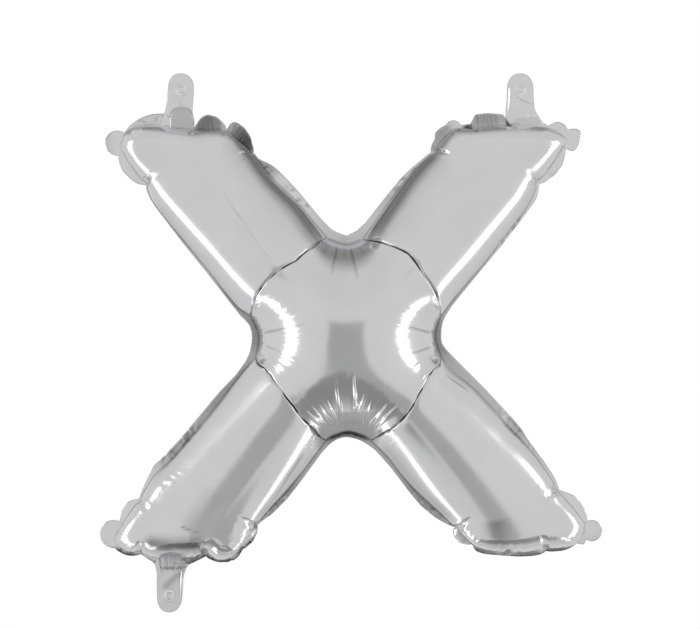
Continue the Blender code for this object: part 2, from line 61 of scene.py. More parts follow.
# Seam line of each arm, clockwise: up one side, over the end, down the other; the radii of its
# crease; and beside each side, the share of its length over which it gets lower towards the corner,
# with a power for that: 0.5 closes it as a round, less keeps it full
armSeams = {
    "upperRight": {
        "first": [(12.8, 76.4), (22.4, 90.4), (34.4, 107.2), (45.6, 122.4), (56, 134.4),
                  (67.6, 145.4), (72.5, 151), (77.5, 156.5), (82.5, 161.5), (88, 165.2)],
        "end": [(88, 165.2), (98.4, 164.8), (110.4, 165.8), (122.4, 167), (132, 167.6),
                (146.4, 168), (158.4, 166), (168.5, 161.8), (175.6, 156.6)],
        "second": [(175.6, 156.6), (170.8, 148), (165.2, 139.5), (159.2, 130.8), (153, 122.6),
                   (149.2, 113.6), (144, 102.8), (134.4, 89.6), (123.2, 75.2), (109.6, 57.6),
                   (96.8, 42.8), (84.4, 28), (74.8, 15.2)],
        "crease": (77.3, 78.4, 80.3, 76.6, 77.6, 77.2),
        "corner": ((0.14, 0.26), (0.15, 0.26)),
    },
    "lowerRight": {
        "first": [(75.2, -18), (80, -26.4), (86.4, -32), (94.4, -37.6), (101.6, -43.6),
                  (110.4, -52.8), (120, -62.8), (128, -72.4), (139.2, -84), (147.2, -93.2),
                  (156, -104.8), (163.2, -116), (168.4, -124.4), (174.5, -132), (180.5, -139),
                  (186, -146), (190.2, -151.6)],
        "end": [(190.2, -151.6), (188.8, -158.4), (184.8, -164.4), (179.2, -168), (170.4, -169.8),
                (158.4, -170.4), (146.4, -172.8), (131.2, -173.2), (122.4, -172.8),
                (113.6, -171.6), (106.4, -169.8), (99.6, -166)],
        "second": [(99.6, -166), (93.5, -160), (86.6, -153), (79.2, -146.4),
                   (70.4, -138.8), (60.8, -130.4), (52, -121.6), (42.4, -110.4), (34.4, -100),
                   (26.4, -91.2), (18.4, -84)],
        "crease": (77.0, 71.9, 72.8, 77.5, 81.5, 83.4),
        "corner": ((0.14, 0.24), (0.14, 0.26)),
    },
    "lowerLeft": {
        "first": [(-16, -84), (-23.2, -92.8), (-32, -104.8), (-40, -114.8), (-49.6, -126),
                  (-60, -136.8), (-72.8, -151.6), (-77.5, -158), (-82, -164),
                  (-85.6, -169)],
        "end": [(-85.6, -169), (-89, -174.2), (-94.4, -178), (-104, -178.8), (-112.4, -173.6),
                (-121.6, -177.2), (-137.6, -178), (-153.6, -177.6), (-164.8, -173.2),
                (-174.6, -172.6), (-181.6, -168), (-185.6, -162.6)],
        "second": [(-185.6, -162.6), (-180.6, -153.8), (-175.4, -145.6), (-170.2, -138),
                   (-165, -130.4), (-160, -122.4), (-154.8, -113.6), (-141.6, -100.8),
                   (-124.4, -81.2), (-113.2, -68), (-100.4, -52), (-88.8, -36.8), (-80, -26),
                   (-72.8, -18)],
        "crease": (84.0, 76.0, 69.5, 67.0, 68.0, 74.0),
        "corner": ((0.14, 0.26), (0.14, 0.24)),
    },
    "upperLeft": {
        "first": [(-76.8, 15.2), (-85.6, 20.8), (-95.2, 31.6), (-107.2, 47.2), (-120.8, 64),
                  (-132, 77.6), (-144.8, 93.2), (-154.4, 106.4), (-158.8, 115.2), (-160.6, 120),
                  (-166, 127.4), (-171.4, 135), (-176.6, 143), (-181, 151.4)],
        "end": [(-181, 151.4), (-177.8, 159.8), (-171.2, 165.2), (-163.2, 167.2), (-153.6, 167.6),
                (-143.2, 166.2), (-132.8, 164.6), (-123.2, 163.4), (-113.6, 164), (-103.2, 163.8),
                (-95.6, 163)],
        "second": [(-95.6, 163), (-85.6, 154.8), (-75.2, 145.4), (-67.2, 134.4), (-57.6, 123.2),
                   (-46.4, 112.4), (-38.4, 104.8), (-27.2, 90.8), (-16.4, 77.6)],
        "crease": (77.4, 78.2, 76.2, 73.6, 71.0, 74.2, 76.5),
        "corner": ((0.15, 0.26), (0.14, 0.26)),
    },
}
armOrder = ("upperRight", "lowerRight", "lowerLeft", "upperLeft")
crotchMiddles = ((70.7, 0), (0, -78.5), (-70.7, 0), (0, 72.5))   # between one arm and the next

foilMesh = {
    "across": 96,                  # faces across an arm
    "straight": 90,                # faces along its straight part
    "crowding": 1.15,              # how much closer together they get towards the middle, a power
    "closing": 46,                 # faces along its closing end
    "crotch": 60,                  # faces round each crotch
    "rings": 66,                   # rings of faces in the round middle
    "waves": 12,                   # waves round the middle that its whole film follows
    "middleRadius": 76.0,          # mm, the size that these refer to
}


# Smooth line through points, read at fractions of its length: each run is a cubic whose end slopes
# are those of the points beside it.
def smoothLine(points, fractions):
    knots = np.asarray(points, float)
    length = np.concatenate([[0], np.cumsum(np.hypot(*np.diff(knots, axis=0).T))])
    slopes = np.gradient(knots, length, axis=0)
    where = np.clip(fractions, 0, 1) * length[-1]
    index = np.clip(np.searchsorted(length, where, side="right") - 1, 0, len(length) - 2)
    span = (length[index + 1] - length[index])[:, None]
    u = (where - length[index])[:, None] / span
    return ((2 * u**3 - 3 * u**2 + 1) * knots[index] + (u**3 - 2 * u**2 + u) * slopes[index] * span
            + (3 * u**2 - 2 * u**3) * knots[index + 1] + (u**3 - u**2) * slopes[index + 1] * span)


# Millimetres from the letter's centre, as plan and distance in front of the seam plane, to metres.
def toWorld(plan, forward):
    x = plan[..., 0] + letter["centre"][0]
    z = plan[..., 1] + letter["centre"][1]
    return np.stack([x, -forward + 0 * x, z], axis=-1) / 1000


# Uneven run: drawn values at even steps along a length, with straight lines between them.
def unevenRun(place, length, step, draw):
    return np.interp(place, np.arange(0, length + step, step), draw(int(length // step) + 2))


# Share left at plan points about a place: one there, falling as a bell of the fourth power.
def patchShare(plan, x, z, radius):
    return np.exp(-(np.hypot(plan[:, 0] - x, plan[:, 1] - z) / radius)**4)


# Share by height in the letter: a soft step from none to one, from a height up or down to the ends.
def endShare(z, start, spread):
    return 1 / (1 + np.exp(-(np.abs(z) - start) / spread))


# Corner indices of the faces of a grid of points, row by row.
def gridFaces(index):
    return np.stack([index[:-1, :-1], index[:-1, 1:], index[1:, 1:], index[1:, :-1]],
                    axis=-1).reshape(-1, 4)


# The same for a grid whose rows are closed rings.
def ringFaces(index):
    return gridFaces(np.concatenate([index, index[:, :1]], axis=1))


# Faces with a doubled corner in front get it at their end, where makePiece drops it.
def poleLast(faces):
    doubled = faces[:, 0] == faces[:, 1]
    return np.where(doubled[:, None], np.roll(faces, -2, axis=1), faces)


# Normal at each point: the sum of its faces' diagonals' cross products, made one long.
def pointNormals(points, faces):
    corners = points[faces]
    cross = np.cross(corners[:, 2] - corners[:, 0], corners[:, 3] - corners[:, 1])
    total = np.stack([np.bincount(faces.ravel(), np.repeat(cross[:, k], 4), len(points))
                      for k in range(3)], axis=1)
    return total / np.maximum(np.linalg.norm(total, axis=1), 1e-12)[:, None]


# Faces of a sheet, turned round if they point to the back.
def facingFront(points, faces):
    return faces[:, ::-1] if pointNormals(points, faces)[:, 1].mean() > 0 else faces


# Stations along an arm, closer together towards the middle and closest at its end.
def armStations():
    even = np.linspace(0, 1, foilMesh["straight"] + 1)[:-1]
    straight = even**foilMesh["crowding"] * letter["endStart"]
    quarter = np.sin(np.linspace(0, np.pi / 2, foilMesh["closing"] + 1))
    return np.concatenate([straight, letter["endStart"] + (1 - letter["endStart"]) * quarter])


# Share of the depth left along an arm, for every place across: one minus a power of the way into the
# closing part, then a root of that. The middle line closes by endStart and endPower and a half root,
# the places beside the seams by their corner's reach and root, blended by the cosine's cube.
def closedDepth(along, turn, corner):
    side = np.abs(np.cos(turn))**3
    reach = np.where(turn < np.pi / 2, corner[0][0], corner[1][0])
    cornerRoot = np.where(turn < np.pi / 2, corner[0][1], corner[1][1])
    reach = (1 - side) * (1 - letter["endStart"]) + side * reach
    power = (1 - side) * letter["endPower"] + side * letter["cornerPower"]
    root = (1 - side) * 0.5 + side * cornerRoot
    return np.clip(1 - np.clip(1 - (1 - along[:, None]) / reach, 0, 1)**power, 0, 1)**root


# Crease between an arm and the middle: an arc about the letter's centre, with the kinks of its radii.
def creaseLine(start, finish, across, radii):
    first, last = np.arctan2(start[1], start[0]), np.arctan2(finish[1], finish[0])
    last = first - (first - last) % (2 * np.pi)
    angle = first + across * (last - first)
    ends = (1 - across) * np.hypot(*start) + across * np.hypot(*finish)
    kinked = np.interp(across, np.linspace(0, 1, len(radii)), radii)
    bow = np.clip(np.sin(np.pi * across) * 3, 0, 1)
    radius = (1 - bow) * ends + bow * kinked
    return np.stack([radius * np.cos(angle), radius * np.sin(angle)], axis=1)


# Even line with a side seam's ends: the straight line between them plus the best fitting cubic bow.
def evenSide(points, along):
    bow = along * (1 - along)
    terms = np.stack([bow, bow * along], axis=1)
    chord = points[0] + along[:, None] * (points[-1] - points[0])
    return chord + terms @ np.linalg.lstsq(terms, points - chord, rcond=None)[0]


# One arm as a grid: its plan is spanned between both side seams, the crease and the end seam, with
# the sides' small waves dying out inwards. Its height is a half circle across, closed by a round at
# the end, deeper towards the middle and sunk at the crease.
def armGrid(seams):
    turn = np.linspace(0, np.pi, foilMesh["across"] + 1)
    along, across = armStations(), (1 - np.cos(turn)) / 2
    first = smoothLine(seams["first"], along)
    second = smoothLine(seams["second"][::-1], along)
    end = smoothLine(seams["end"], across)
    crease = creaseLine(first[0], second[0], across, seams["crease"])
    s, t = along[:, None, None], across[None, :, None]
    plan = ((1 - t) * first[:, None] + t * second[:, None] + (1 - s) * crease + s * end
            - (1 - s) * ((1 - t) * first[0] + t * second[0])
            - s * ((1 - t) * first[-1] + t * second[-1]))
    fade = letter["wiggleFade"]
    plan += ((1 - t)**fade - (1 - t)) * (first - evenSide(first, along))[:, None]
    plan += (t**fade - t) * (second - evenSide(second, along))[:, None]
    fromCrease = np.linalg.norm(plan - plan[:1], axis=-1)
    sunk = 1 - (1 - letter["creaseShare"]) * np.exp(-fromCrease / letter["creaseReach"])
    depth = letter["armDepth"] + letter["rootSwell"] * np.exp(-along / letter["rootReach"])
    fuller = np.clip((along - letter["fullStart"]) / (1 - letter["fullStart"]), 0, 1)
    power = 1 - letter["endFullness"] * fuller**2 * (3 - 2 * fuller)
    squarer = np.clip((along - letter["cornerStart"]) / (1 - letter["cornerStart"]), 0, 1)
    power = power * (1 - letter["cornerFullness"] * squarer)
    section = np.clip(np.sin(turn), 0, 1)**power[:, None]
    height = depth[:, None] * section * closedDepth(along, turn, seams["corner"]) * sunk
    return plan, height


# Values at plan points of the waves that a film stretched over a rim can take: powers of the place
# as a complex number, real and imaginary parts.
def waveTerms(plan):
    place = (plan[..., 0] + 1j * plan[..., 1]) / foilMesh["middleRadius"]
    powers = place[..., None]**np.arange(1, foilMesh["waves"] + 1)
    return np.concatenate([np.ones(powers.shape[:-1] + (1,)), powers.real, powers.imag], axis=-1)


# The round middle: rings that shrink towards the centre. Its height is that of a film stretched
# over its edge, with a paraboloid on top. The long waves of the edge are followed by the whole
# film; what is left of it dies out inwards, each wave as a power of the ring.
def middleGrid(edgePlan, edgeHeight):
    ring = np.sin(np.linspace(np.pi / 2, 0, foilMesh["rings"] + 1))[1:-1]
    plan = edgePlan[None] * ring[:, None, None]

    def bowl(place):
        return 1 - (place[..., 0]**2 + place[..., 1]**2) / foilMesh["middleRadius"]**2

    terms = waveTerms(edgePlan)
    fit = np.linalg.lstsq(terms, np.stack([edgeHeight, bowl(edgePlan)], axis=1), rcond=1e-6)[0]
    top = (letter["centreDepth"] - fit[0, 0]) / (1 - fit[0, 1])
    mixed = fit[:, 0] - top * fit[:, 1]
    left = edgeHeight - terms @ mixed - top * bowl(edgePlan)
    angle = np.unwrap(np.arctan2(edgePlan[:, 1], edgePlan[:, 0]))
    even = np.linspace(0, 2 * np.pi, 512, endpoint=False)
    order = np.argsort(angle % (2 * np.pi))
    waves = np.fft.rfft(np.interp(even, angle[order] % (2 * np.pi), left[order],
                                  period=2 * np.pi)) / len(even)
    number = np.arange(len(waves))
    share = np.where(number == 0, 1, 2) * waves * (number > foilMesh["waves"] / 2)
    turned = np.exp(1j * angle[:, None] * number)
    fine = np.stack([(turned @ (share * r**number)).real for r in ring])
    rest = (left - (turned @ share).real) * ring[:, None]**30
    return plan, waveTerms(plan) @ mixed + top * bowl(plan) + fine + rest


# Seam line as one closed run of points about a millimetre apart, with its length so far and the
# direction that points into the letter.
def closedSeam():
    line = []
    for name, middle, following in zip(armOrder, crotchMiddles, armOrder[1:] + armOrder[:1]):
        seams = armSeams[name]
        steps = np.linspace(0, 1, 160)[:-1]
        line += [smoothLine(seams[part], steps) for part in ("first", "end", "second")]
        corners = [seams["second"][-1], middle, armSeams[following]["first"][0]]
        line.append(smoothLine(corners, np.linspace(0, 1, 40)[:-1]))
    points = np.concatenate(line)
    length = np.concatenate([[0], np.cumsum(np.hypot(*np.diff(np.r_[points, points[:1]], axis=0).T))])
    even = np.arange(0, length[-1], 1.0)
    closed = np.r_[points, points[:1]]
    points = np.stack([np.interp(even, length, closed[:, k]) for k in (0, 1)], axis=1)
    points = points + pullSeam(points)
    ahead = np.roll(points, -2, axis=0) - np.roll(points, 2, axis=0)
    ahead /= np.linalg.norm(ahead, axis=1)[:, None]
    inward = np.stack([ahead[:, 1], -ahead[:, 0]], axis=1)
    step = np.linalg.norm(np.roll(points, -1, axis=0) - points, axis=1)
    return {"points": points, "inward": inward, "ahead": ahead,
            "along": np.concatenate([[0], np.cumsum(step)[:-1]]), "length": step.sum()}


# Where the seam is pulled in: x, z, half width, pull, all in mm
seamPulls = (
    (-160.8, 121, 3.0, 2.2), (-123.2, 166, 2.2, 1.6), (-95.5, 164, 2.0, 1.4),
    (-75.5, 146, 2.5, 1.2), (67.5, 147.5, 2.6, 1.6), (98.5, 166, 2.0, 1.0),
    (129.6, 168, 2.4, 1.6), (153.6, 122, 3.2, 2.6), (169, -123, 3.0, 2.4),
    (143, -82, 2.5, 1.2), (87, -153, 3.0, 2.0), (128, -172, 2.5, 1.6), (158.4, -170, 3.0, 2.4),
    (-71.6, -151, 3.0, 2.2), (-112.8, -173, 2.6, 2.4), (-165.6, -170.5, 2.6, 2.0),
    (-166.4, -132, 3.0, 2.4), (-152, -100, 2.5, 1.2),
)


# How far plan points near a pinch move: a bell shaped pull towards the arm's own middle line.
def pullSeam(plan):
    moved = np.zeros_like(plan)
    for x, z, halfWidth, pull in seamPulls:
        place = np.array([x, z])
        arm = np.array([np.sign(x) * 0.62, np.sign(z) * 0.78])
        target = arm * np.clip(place @ arm, 0, 150)
        inward = (target - place) / max(np.linalg.norm(target - place), 1e-6)
        away = np.linalg.norm(plan - place, axis=-1)
        moved += inward * (pull * np.exp(-(away / halfWidth)**2))[..., None]
    return moved


# Place of plan points beside the seam: how far along it the nearest point lies, and how far away.
def besideSeam(plan, seam):
    flat = plan.reshape(-1, 2)
    nearest = np.concatenate([
        np.argmin(((part[:, None, 0] - seam["points"][None, :, 0])**2
                   + (part[:, None, 1] - seam["points"][None, :, 1])**2), axis=1)
        for part in np.array_split(flat.astype(np.float32), max(1, len(flat) // 4000))])
    offset = flat - seam["points"][nearest]
    along = seam["along"][nearest] + np.sum(offset * seam["ahead"][nearest], axis=1)
    away = np.abs(np.sum(offset * seam["inward"][nearest], axis=1))
    return along, away


# Distance from plan points to the nearest run of the creases' line, for points near the middle's rim.
def nearestDistance(plan, line):
    result = np.full(len(plan), 99.0)
    close = np.abs(np.hypot(*plan.T) - foilMesh["middleRadius"]) < 16
    for start, finish in zip(line[:-1], line[1:]):
        chord = finish - start
        if np.hypot(*chord) > 8:    # the jump over a crotch
            continue
        u = np.clip((plan[close] - start) @ chord / (chord @ chord), 0, 1)
        away = np.hypot(*(plan[close] - start - u[:, None] * chord).T)
        result[close] = np.minimum(result[close], away)
    return result


# Uneven run round the letter's centre: seeded values, low to high, at even steps of angle.
def roundRun(plan, count, low, high, seed):
    values = np.random.default_rng(seed).uniform(low, high, count)
    angle = np.arctan2(plan[:, 1], plan[:, 0])
    return np.interp(angle, np.linspace(-np.pi, np.pi, count, endpoint=False), values,
                     period=2 * np.pi)


# The crease round the middle: its groove, the line of painted shade in it and the puckers beside it
creaseLook = {
    "grooveDepth": 1.5,            # mm
    "grooveHalfWidth": 0.6,
    "lineHalfWidth": 0.44,
    "lineStrength": (90, -0.6, 1.7),   # how many changes round it, and from and to what
    "leastStrength": 0.10,
    "lineSpread": (110, 0.4, 1.7),
    "glint": 0.60,                 # mm, height of the puckers
    "glintReach": 1.8,             # mm
    "glintWave": (150, -1, 1),
    "glintPatches": (26, -0.8, 1.2),
}


# Painted shade of the crease: a thin dark line that is strong in some stretches and weak in others.
def creaseShadow(plan, fromCrease, seed):
    strength = np.clip(roundRun(plan, *creaseLook["lineStrength"], seed), creaseLook["leastStrength"], 1)
    width = creaseLook["lineHalfWidth"] * roundRun(plan, *creaseLook["lineSpread"], seed + 1)
    return strength * np.exp(-(fromCrease / width)**2)


# Small puckers beside the crease, in mm: seeded waves round the centre that fade within a few mm.
def creaseGlints(plan, fromCrease, seed):
    patches = np.clip(roundRun(plan, *creaseLook["glintPatches"], seed + 1), 0, 1)
    wave = roundRun(plan, *creaseLook["glintWave"], seed) * patches
    return creaseLook["glint"] * wave * np.exp(-(fromCrease / creaseLook["glintReach"])**2)


# Place of plan points beside a straight line: share of its length so far, and mm to its left.
def besideLine(plan, x0, z0, x1, z1):
    start, finish = np.array([x0, z0]), np.array([x1, z1])
    reach = np.linalg.norm(finish - start)
    axis = (finish - start) / reach
    return (plan - start) @ axis / reach, (plan - start) @ np.array([-axis[1], axis[0]])


# One along a line, and soft at both ends of it.
def softEnds(share, reach):
    return np.clip(share / reach, 0, 1) * np.clip((1 - share) / reach, 0, 1)


# Cross-section of a fold, by distance in half widths: a valley with a low lip on each side.
def foldSection(q):
    return -np.exp(-q**2) + 0.4 * np.exp(-((np.abs(q) - 1.6) / 0.55)**2)


# Folds that can be told apart: start at the seam x, z, inner end x, z, half width, depth, in mm
foilFolds = (
    (-160.8, 121, -147, 131.5, 2.2, 2.4), (-123.2, 166, -123, 157, 1.5, 1.6),
    (-95.5, 164, -99, 156, 1.8, 1.4), (-75.5, 146, -86, 142.5, 1.6, 1.1),
    (-79, 149, -87, 147.5, 1.2, 0.7), (-172, 161, -165, 154, 2.0, 1.0),
    (67.5, 147.5, 83, 142.5, 2.0, 2.2), (98.5, 166.5, 103, 160, 1.5, 1.4),
    (129.6, 168, 133.5, 161.5, 1.6, 1.8), (118, 166.5, 120, 161, 1.2, 0.7),
    (153.6, 122, 141.5, 131.5, 2.4, 2.6), (149, 116, 142, 122.5, 1.4, 0.9),
    (169, -123, 156, -127.5, 2.2, 2.2), (167, -119, 156, -122, 1.4, 0.8),
    (143, -82, 137.5, -88.5, 1.8, 1.2), (87, -153, 98, -143.5, 2.2, 2.2),
    (158.4, -170, 153.4, -157, 2.4, 2.4), (128, -172, 129, -163, 2.0, 1.5),
    (137, -171, 137.5, -161, 1.6, 1.0), (119, -169, 121, -160, 1.6, 1.0),
    (-71.6, -151, -85, -143, 2.2, 2.2), (-76, -156, -86, -150, 1.5, 0.9),
    (-112.8, -173, -113, -160, 2.2, 2.3), (-118, -173, -118.5, -161, 1.5, 0.9),
    (-123, -173, -123.5, -163, 1.4, 0.8), (-165.6, -170.5, -163.6, -162, 2.0, 1.5),
    (-166.4, -132, -156, -138, 2.2, 2.0), (-163, -127, -154, -132, 1.4, 0.8),
    (-152, -100, -141, -106, 1.8, 1.3),
    (-7.4, 73, -11.6, 46, 1.3, 0.12), (2.6, 73, 8.2, 45, 1.3, 0.12),
    (-70, 3.5, -34, 5.5, 1.2, 0.3), (-70, -6, -38, -13, 1.2, 0.3),
    (69.5, 2.5, 38, 7, 1.2, 0.35), (69.5, -7, 37, -17.5, 1.3, 0.35),
)


# Depth of all the folds of a list at plan points: each narrows and fades from the seam inwards.
def foldDepth(plan, folds):
    total = np.zeros(len(plan))
    for x0, z0, x1, z1, halfWidth, depth in folds:
        u, v = besideLine(plan, x0, z0, x1, z1)
        near = (u > -0.3) & (u < 1) & (np.abs(v) < 3 * halfWidth)
        inside = np.clip(u[near], 0, 1)
        width = halfWidth * (1 - 0.5 * inside)
        total[near] += depth * (1 - inside)**0.8 * foldSection(v[near] / width)
    return total


# Long pleats that stand out in the middle: start x, z, inner end x, z, half width, depth, in mm;
# they are deepest half way
longPleats = (
    (-3, -76, -9.5, -32, 1.0, 1.0), (1, -78, 2.0, -40, 0.8, 0.5), (8.4, -76, 5.0, -26, 1.0, 1.0),
    (11, -77, 24.4, -38, 0.9, 0.8), (8, -75, 15.5, -42, 0.8, 0.6), (-8, -78, -25.5, -50, 0.9, 0.9),
    (-5, -76, -17.5, -46, 0.8, 0.6), (15, -77, 35, -50, 0.9, 0.8), (18, -79, 41, -54, 0.8, 0.6),
    (-12, -79, -34, -58, 0.8, 0.6), (13, -78, 30, -46, 0.7, 0.4), (-66, 30, -50, 38, 0.8, 0.5),
    (-64, 25, -47, 33, 0.8, 0.5), (-67, 14, -44, 26, 0.8, 0.3), (-60, 41, -49, 30, 0.7, 0.3),
    (-66, -24, -58, -36, 0.7, 0.4),
    (-61, -36, -52, -44, 0.7, 0.4), (54, -52, 66, -44, 0.7, 0.4), (57, -37, 63, -28, 0.7, 0.3),
)

# Finer pleats about the middle's crotches, seeded: x, z they run from, direction and half width of
# the fan as angles, how many, distance from there to their start and end, depth in mm
finePleats = (
    (0, -88, 1.57, 0.95, 46, (12, 26), (36, 62), (0.12, 0.45)),
    (-79, -2, 0.0, 0.85, 26, (16, 30), (36, 58), (0.08, 0.30)),
    (79, -3, 3.14, 0.80, 26, (16, 30), (36, 58), (0.08, 0.30)),
    (-2, 84, -1.57, 0.80, 16, (8, 12), (16, 24), (0.05, 0.15)),
)


# The finer pleats of every crotch as one list of long pleats.
def scatteredPleats(seed):
    rng = np.random.default_rng(seed)
    result = []
    for x, z, facing, halfAngle, count, near, far, depth in finePleats:
        angle = facing + rng.uniform(-halfAngle, halfAngle, count)
        start, end = rng.uniform(*near, count), rng.uniform(*far, count)
        run = np.stack([x + start * np.cos(angle), z + start * np.sin(angle),
                        x + end * np.cos(angle), z + end * np.sin(angle),
                        rng.uniform(0.5, 0.8, count), rng.uniform(*depth, count)], axis=1)
        result.append(run)
    return np.concatenate(result)


# Rows of short pleats that cross a line: start x, z, end x, z, how many, length, half width, depth
pleatRows = (
    (-129, -104, -159, -134, 15, 12, 0.6, 0.45),
    (-181, -164, -164, -167, 8, 7, 0.5, 0.3), (-125, -161, -112, -163, 5, 10, 0.6, 0.4),
    (152, -119, 165, -129, 5, 9, 0.6, 0.45), (88, -147, 106, -162, 8, 15, 0.7, 0.5),
    (158, -157, 184, -160, 10, 7, 0.5, 0.3), (-92, -150, -84, -158, 4, 10, 0.6, 0.35),
)


# The rows of crossing pleats as one list of long pleats, each turned and shifted a little, seeded.
def crossedPleats(seed):
    rng = np.random.default_rng(seed)
    result = []
    for x0, z0, x1, z1, count, length, halfWidth, depth in pleatRows:
        start, finish = np.array([x0, z0], float), np.array([x1, z1], float)
        axis = (finish - start) / np.linalg.norm(finish - start)
        u = (np.arange(count) + rng.uniform(0.2, 0.8, count)) / count
        middle = start + u[:, None] * (finish - start)
        turned = rng.normal(0, 0.12, count)
        across = np.stack([-axis[1] + turned * axis[0], axis[0] + turned * axis[1]], axis=1)
        half = 0.5 * length * rng.uniform(0.7, 1.1, count)[:, None]
        size = np.stack([halfWidth * rng.uniform(0.8, 1.2, count),
                         depth * rng.uniform(0.6, 1.1, count)], axis=1)
        result.append(np.concatenate([middle - half * across, middle + half * across, size], axis=1))
    return np.concatenate(result)


# Height of the long pleats: a round ridge each, highest half way along.
def pleatHeight(plan, pleats):
    total = np.zeros(len(plan))
    for x0, z0, x1, z1, halfWidth, depth in pleats:
        u, v = besideLine(plan, x0, z0, x1, z1)
        near = (u > 0) & (u < 1) & (np.abs(v) < 3 * halfWidth)
        total[near] += depth * np.sin(np.pi * u[near])**1.4 * np.exp(-(v[near] / halfWidth)**2)
    return total


# Folds and sides given painted shade, where the film would mirror itself and darker things: start x, z,
# end x, z, half width in mm and how dark
paintedShadeFolds = (
    (-33, -91, -70, -149, 1.3, 0.45), (-126, -155, -104, -118, 6.5, 0.22),
    (-7.6, 71, -12.4, 47, 1.1, 0.5), (2.4, 71, 8.8, 43, 1.1, 0.5), (-68, 1.5, -32, 9, 0.9, 0.45),
    (-66, -8, -42, -16, 0.7, 0.3), (68, 1.5, 39, 9.5, 0.9, 0.5), (68, -9, 40, -18, 0.9, 0.45),
    (-97.6, 112, -55.2, 52, 0.6, 0.22), (-9.5, -74, -13.5, -46, 1.0, 0.4),
    (3.5, -76, 4.5, -44, 0.9, 0.45), (13, -74, 19, -48, 0.9, 0.4), (-16, -78, -29, -58, 0.9, 0.4),
    (-2, 72, -2, 60, 1.6, 0.25), (-14, 74, -20, 62, 1.4, 0.25), (8, 73, 15, 62, 1.4, 0.25),
    (-161, -164, -112, -165, 5.5, 0.62), (-112, -165, -161, -164, 5.5, 0.62),
    (117, -144, 122, -172, 8.0, 0.45), (-131, -150, -114, -157, 0.9, 0.7),
)
paintedShadeSides = (
    (-93, 161, -17, 78, 9.5, 0.50), (70, 150, 15, 78, 10.0, 0.48), (-27, -82, 27, -82, 23.0, 0.60),
    (-157, 108, -78, 15, 3.2, 0.30), (160, 128, 78, 16, 3.0, 0.26), (-74, -20, -160, -122, 2.6, 0.30),
    (76, -20, 165, -118, 2.4, 0.25), (-20, -90, -72, -150, 4.4, 0.32), (20, -88, 84, -151, 7.5, 0.36),
    (-20, 78, 20, 78, 4.0, 0.25), (-73, -16, -73, 16, 2.2, 0.35), (74, -16, 74, 16, 2.2, 0.35),
)


# Painted shade of the listed folds and of the sides beside the seam, both soft at their ends.
def paintedMirrorShade(plan, away):
    total = np.zeros(len(plan))
    for lines, beside in ((paintedShadeFolds, False), (paintedShadeSides, True)):
        for x0, z0, x1, z1, halfWidth, amount in lines:
            u, v = besideLine(plan, x0, z0, x1, z1)
            if beside:
                across = np.exp(-(away / halfWidth)**1.6) * (np.abs(v) < 22)
            else:
                across = np.exp(-(v / halfWidth)**2) * np.clip(1.2 - u, 0, 1)
            total = np.maximum(total, amount * softEnds(u, 0.12) * across)
    return total


crimps = {
    "step": 0.5,                   # mm between samples along the seam
    "spacing": 2.6,                # mm from one crimp to the next, on average
    "halfWidth": (0.55, 1.1),      # mm
    "depth": (0.12, 0.5),          # mm
    "reach": (2.5, 9.0),           # mm inwards from the seam
    "reachStep": 6,                # mm over which that changes
    "ends": (140, 7),              # mm up or down where the film gets gathered, and how softly
    "crotches": (74, 9, 0.3),      # distance from the centre, half width, strength
    "patchStep": 14,               # mm over which seeded patches change
    "gathering": (0.06, 0.85, 0.2, 0.6),   # everywhere, at the ends, the crotches, the patches
}


# Crimps all along the seam, as a row of valleys with seeded widths and depths; where the film is
# gathered most, at the ends and crotches, they are deeper and reach further.
def crimpRows(seam, seed):
    rng = np.random.default_rng(seed)
    even = np.arange(0, seam["length"], crimps["step"])
    x, z = [np.interp(even, seam["along"], seam["points"][:, k]) for k in (0, 1)]
    radius, spread, strength = crimps["crotches"]
    crotches = np.exp(-((np.hypot(x, z) - radius) / spread)**2) * strength
    patches = unevenRun(even, seam["length"], crimps["patchStep"], rng.random)
    least, atEnds, atCrotches, atPatches = crimps["gathering"]
    gathered = np.clip(least + atEnds * endShare(z, *crimps["ends"]) + atCrotches * crotches
                       + atPatches * patches**5, 0, 1.2)
    row = np.zeros(len(even))
    for place in np.cumsum(rng.uniform(0.4, 1.6, int(seam["length"] / crimps["spacing"]))
                           * crimps["spacing"]):
        halfWidth = rng.uniform(*crimps["halfWidth"])
        depth = rng.uniform(*crimps["depth"])
        row += depth * foldSection((even - place) / halfWidth)
    reach = unevenRun(even, seam["length"], crimps["reachStep"],
                      lambda count: rng.uniform(*crimps["reach"], count))
    return {"even": even, "row": row * gathered, "reach": reach * (0.5 + 0.5 * gathered)}


# Fans of fine pleats that run out of the crotches: x, z of the point they spread from, distance
# from it where they are deepest, spread about that, half width as an angle, depth; mm and radians
fans = ((-86, -3, 48, 14, 0.72, 0.20), (91, -3, 52, 15, 0.68, 0.20), (2, -102, 44, 19, 0.62, 0.26),
        (-3, 100, 34, 8, 0.62, 0.08))
fanSpacings = ((1.25, 1.0), (2.9, 0.5))   # mm apart where they are deepest, share of the depth


# Depth of the fans of fine pleats: seeded waves by the angle about each fan's own point, deepest at
# one distance from it and fading as a bell to both sides, each pleat with a reach of its own.
def fanDepth(plan, seed):
    rng = np.random.default_rng(seed)
    total = np.zeros(len(plan))
    for x, z, peak, spread, halfAngle, depth in fans:
        across, up = plan[:, 0] - x, plan[:, 1] - z
        facing = np.arctan2(-z, -x)
        angle = (np.arctan2(up, across) - facing + np.pi) % (2 * np.pi) - np.pi
        distance = np.hypot(across, up)
        for spacing, share in fanSpacings:
            count = int(4 * halfAngle * peak / spacing)
            places = -2 * halfAngle + np.cumsum(rng.uniform(0.5, 1.5, count)) * spacing / peak
            wave = np.interp(angle, places, rng.uniform(-1, 1, count), left=0, right=0)
            reach = np.interp(angle, places, rng.uniform(0.45, 1.15, count))
            total += (depth * share * wave * np.exp(-(angle / halfAngle)**6)
                      * np.exp(-((distance - peak) / (spread * reach))**2))
    return total


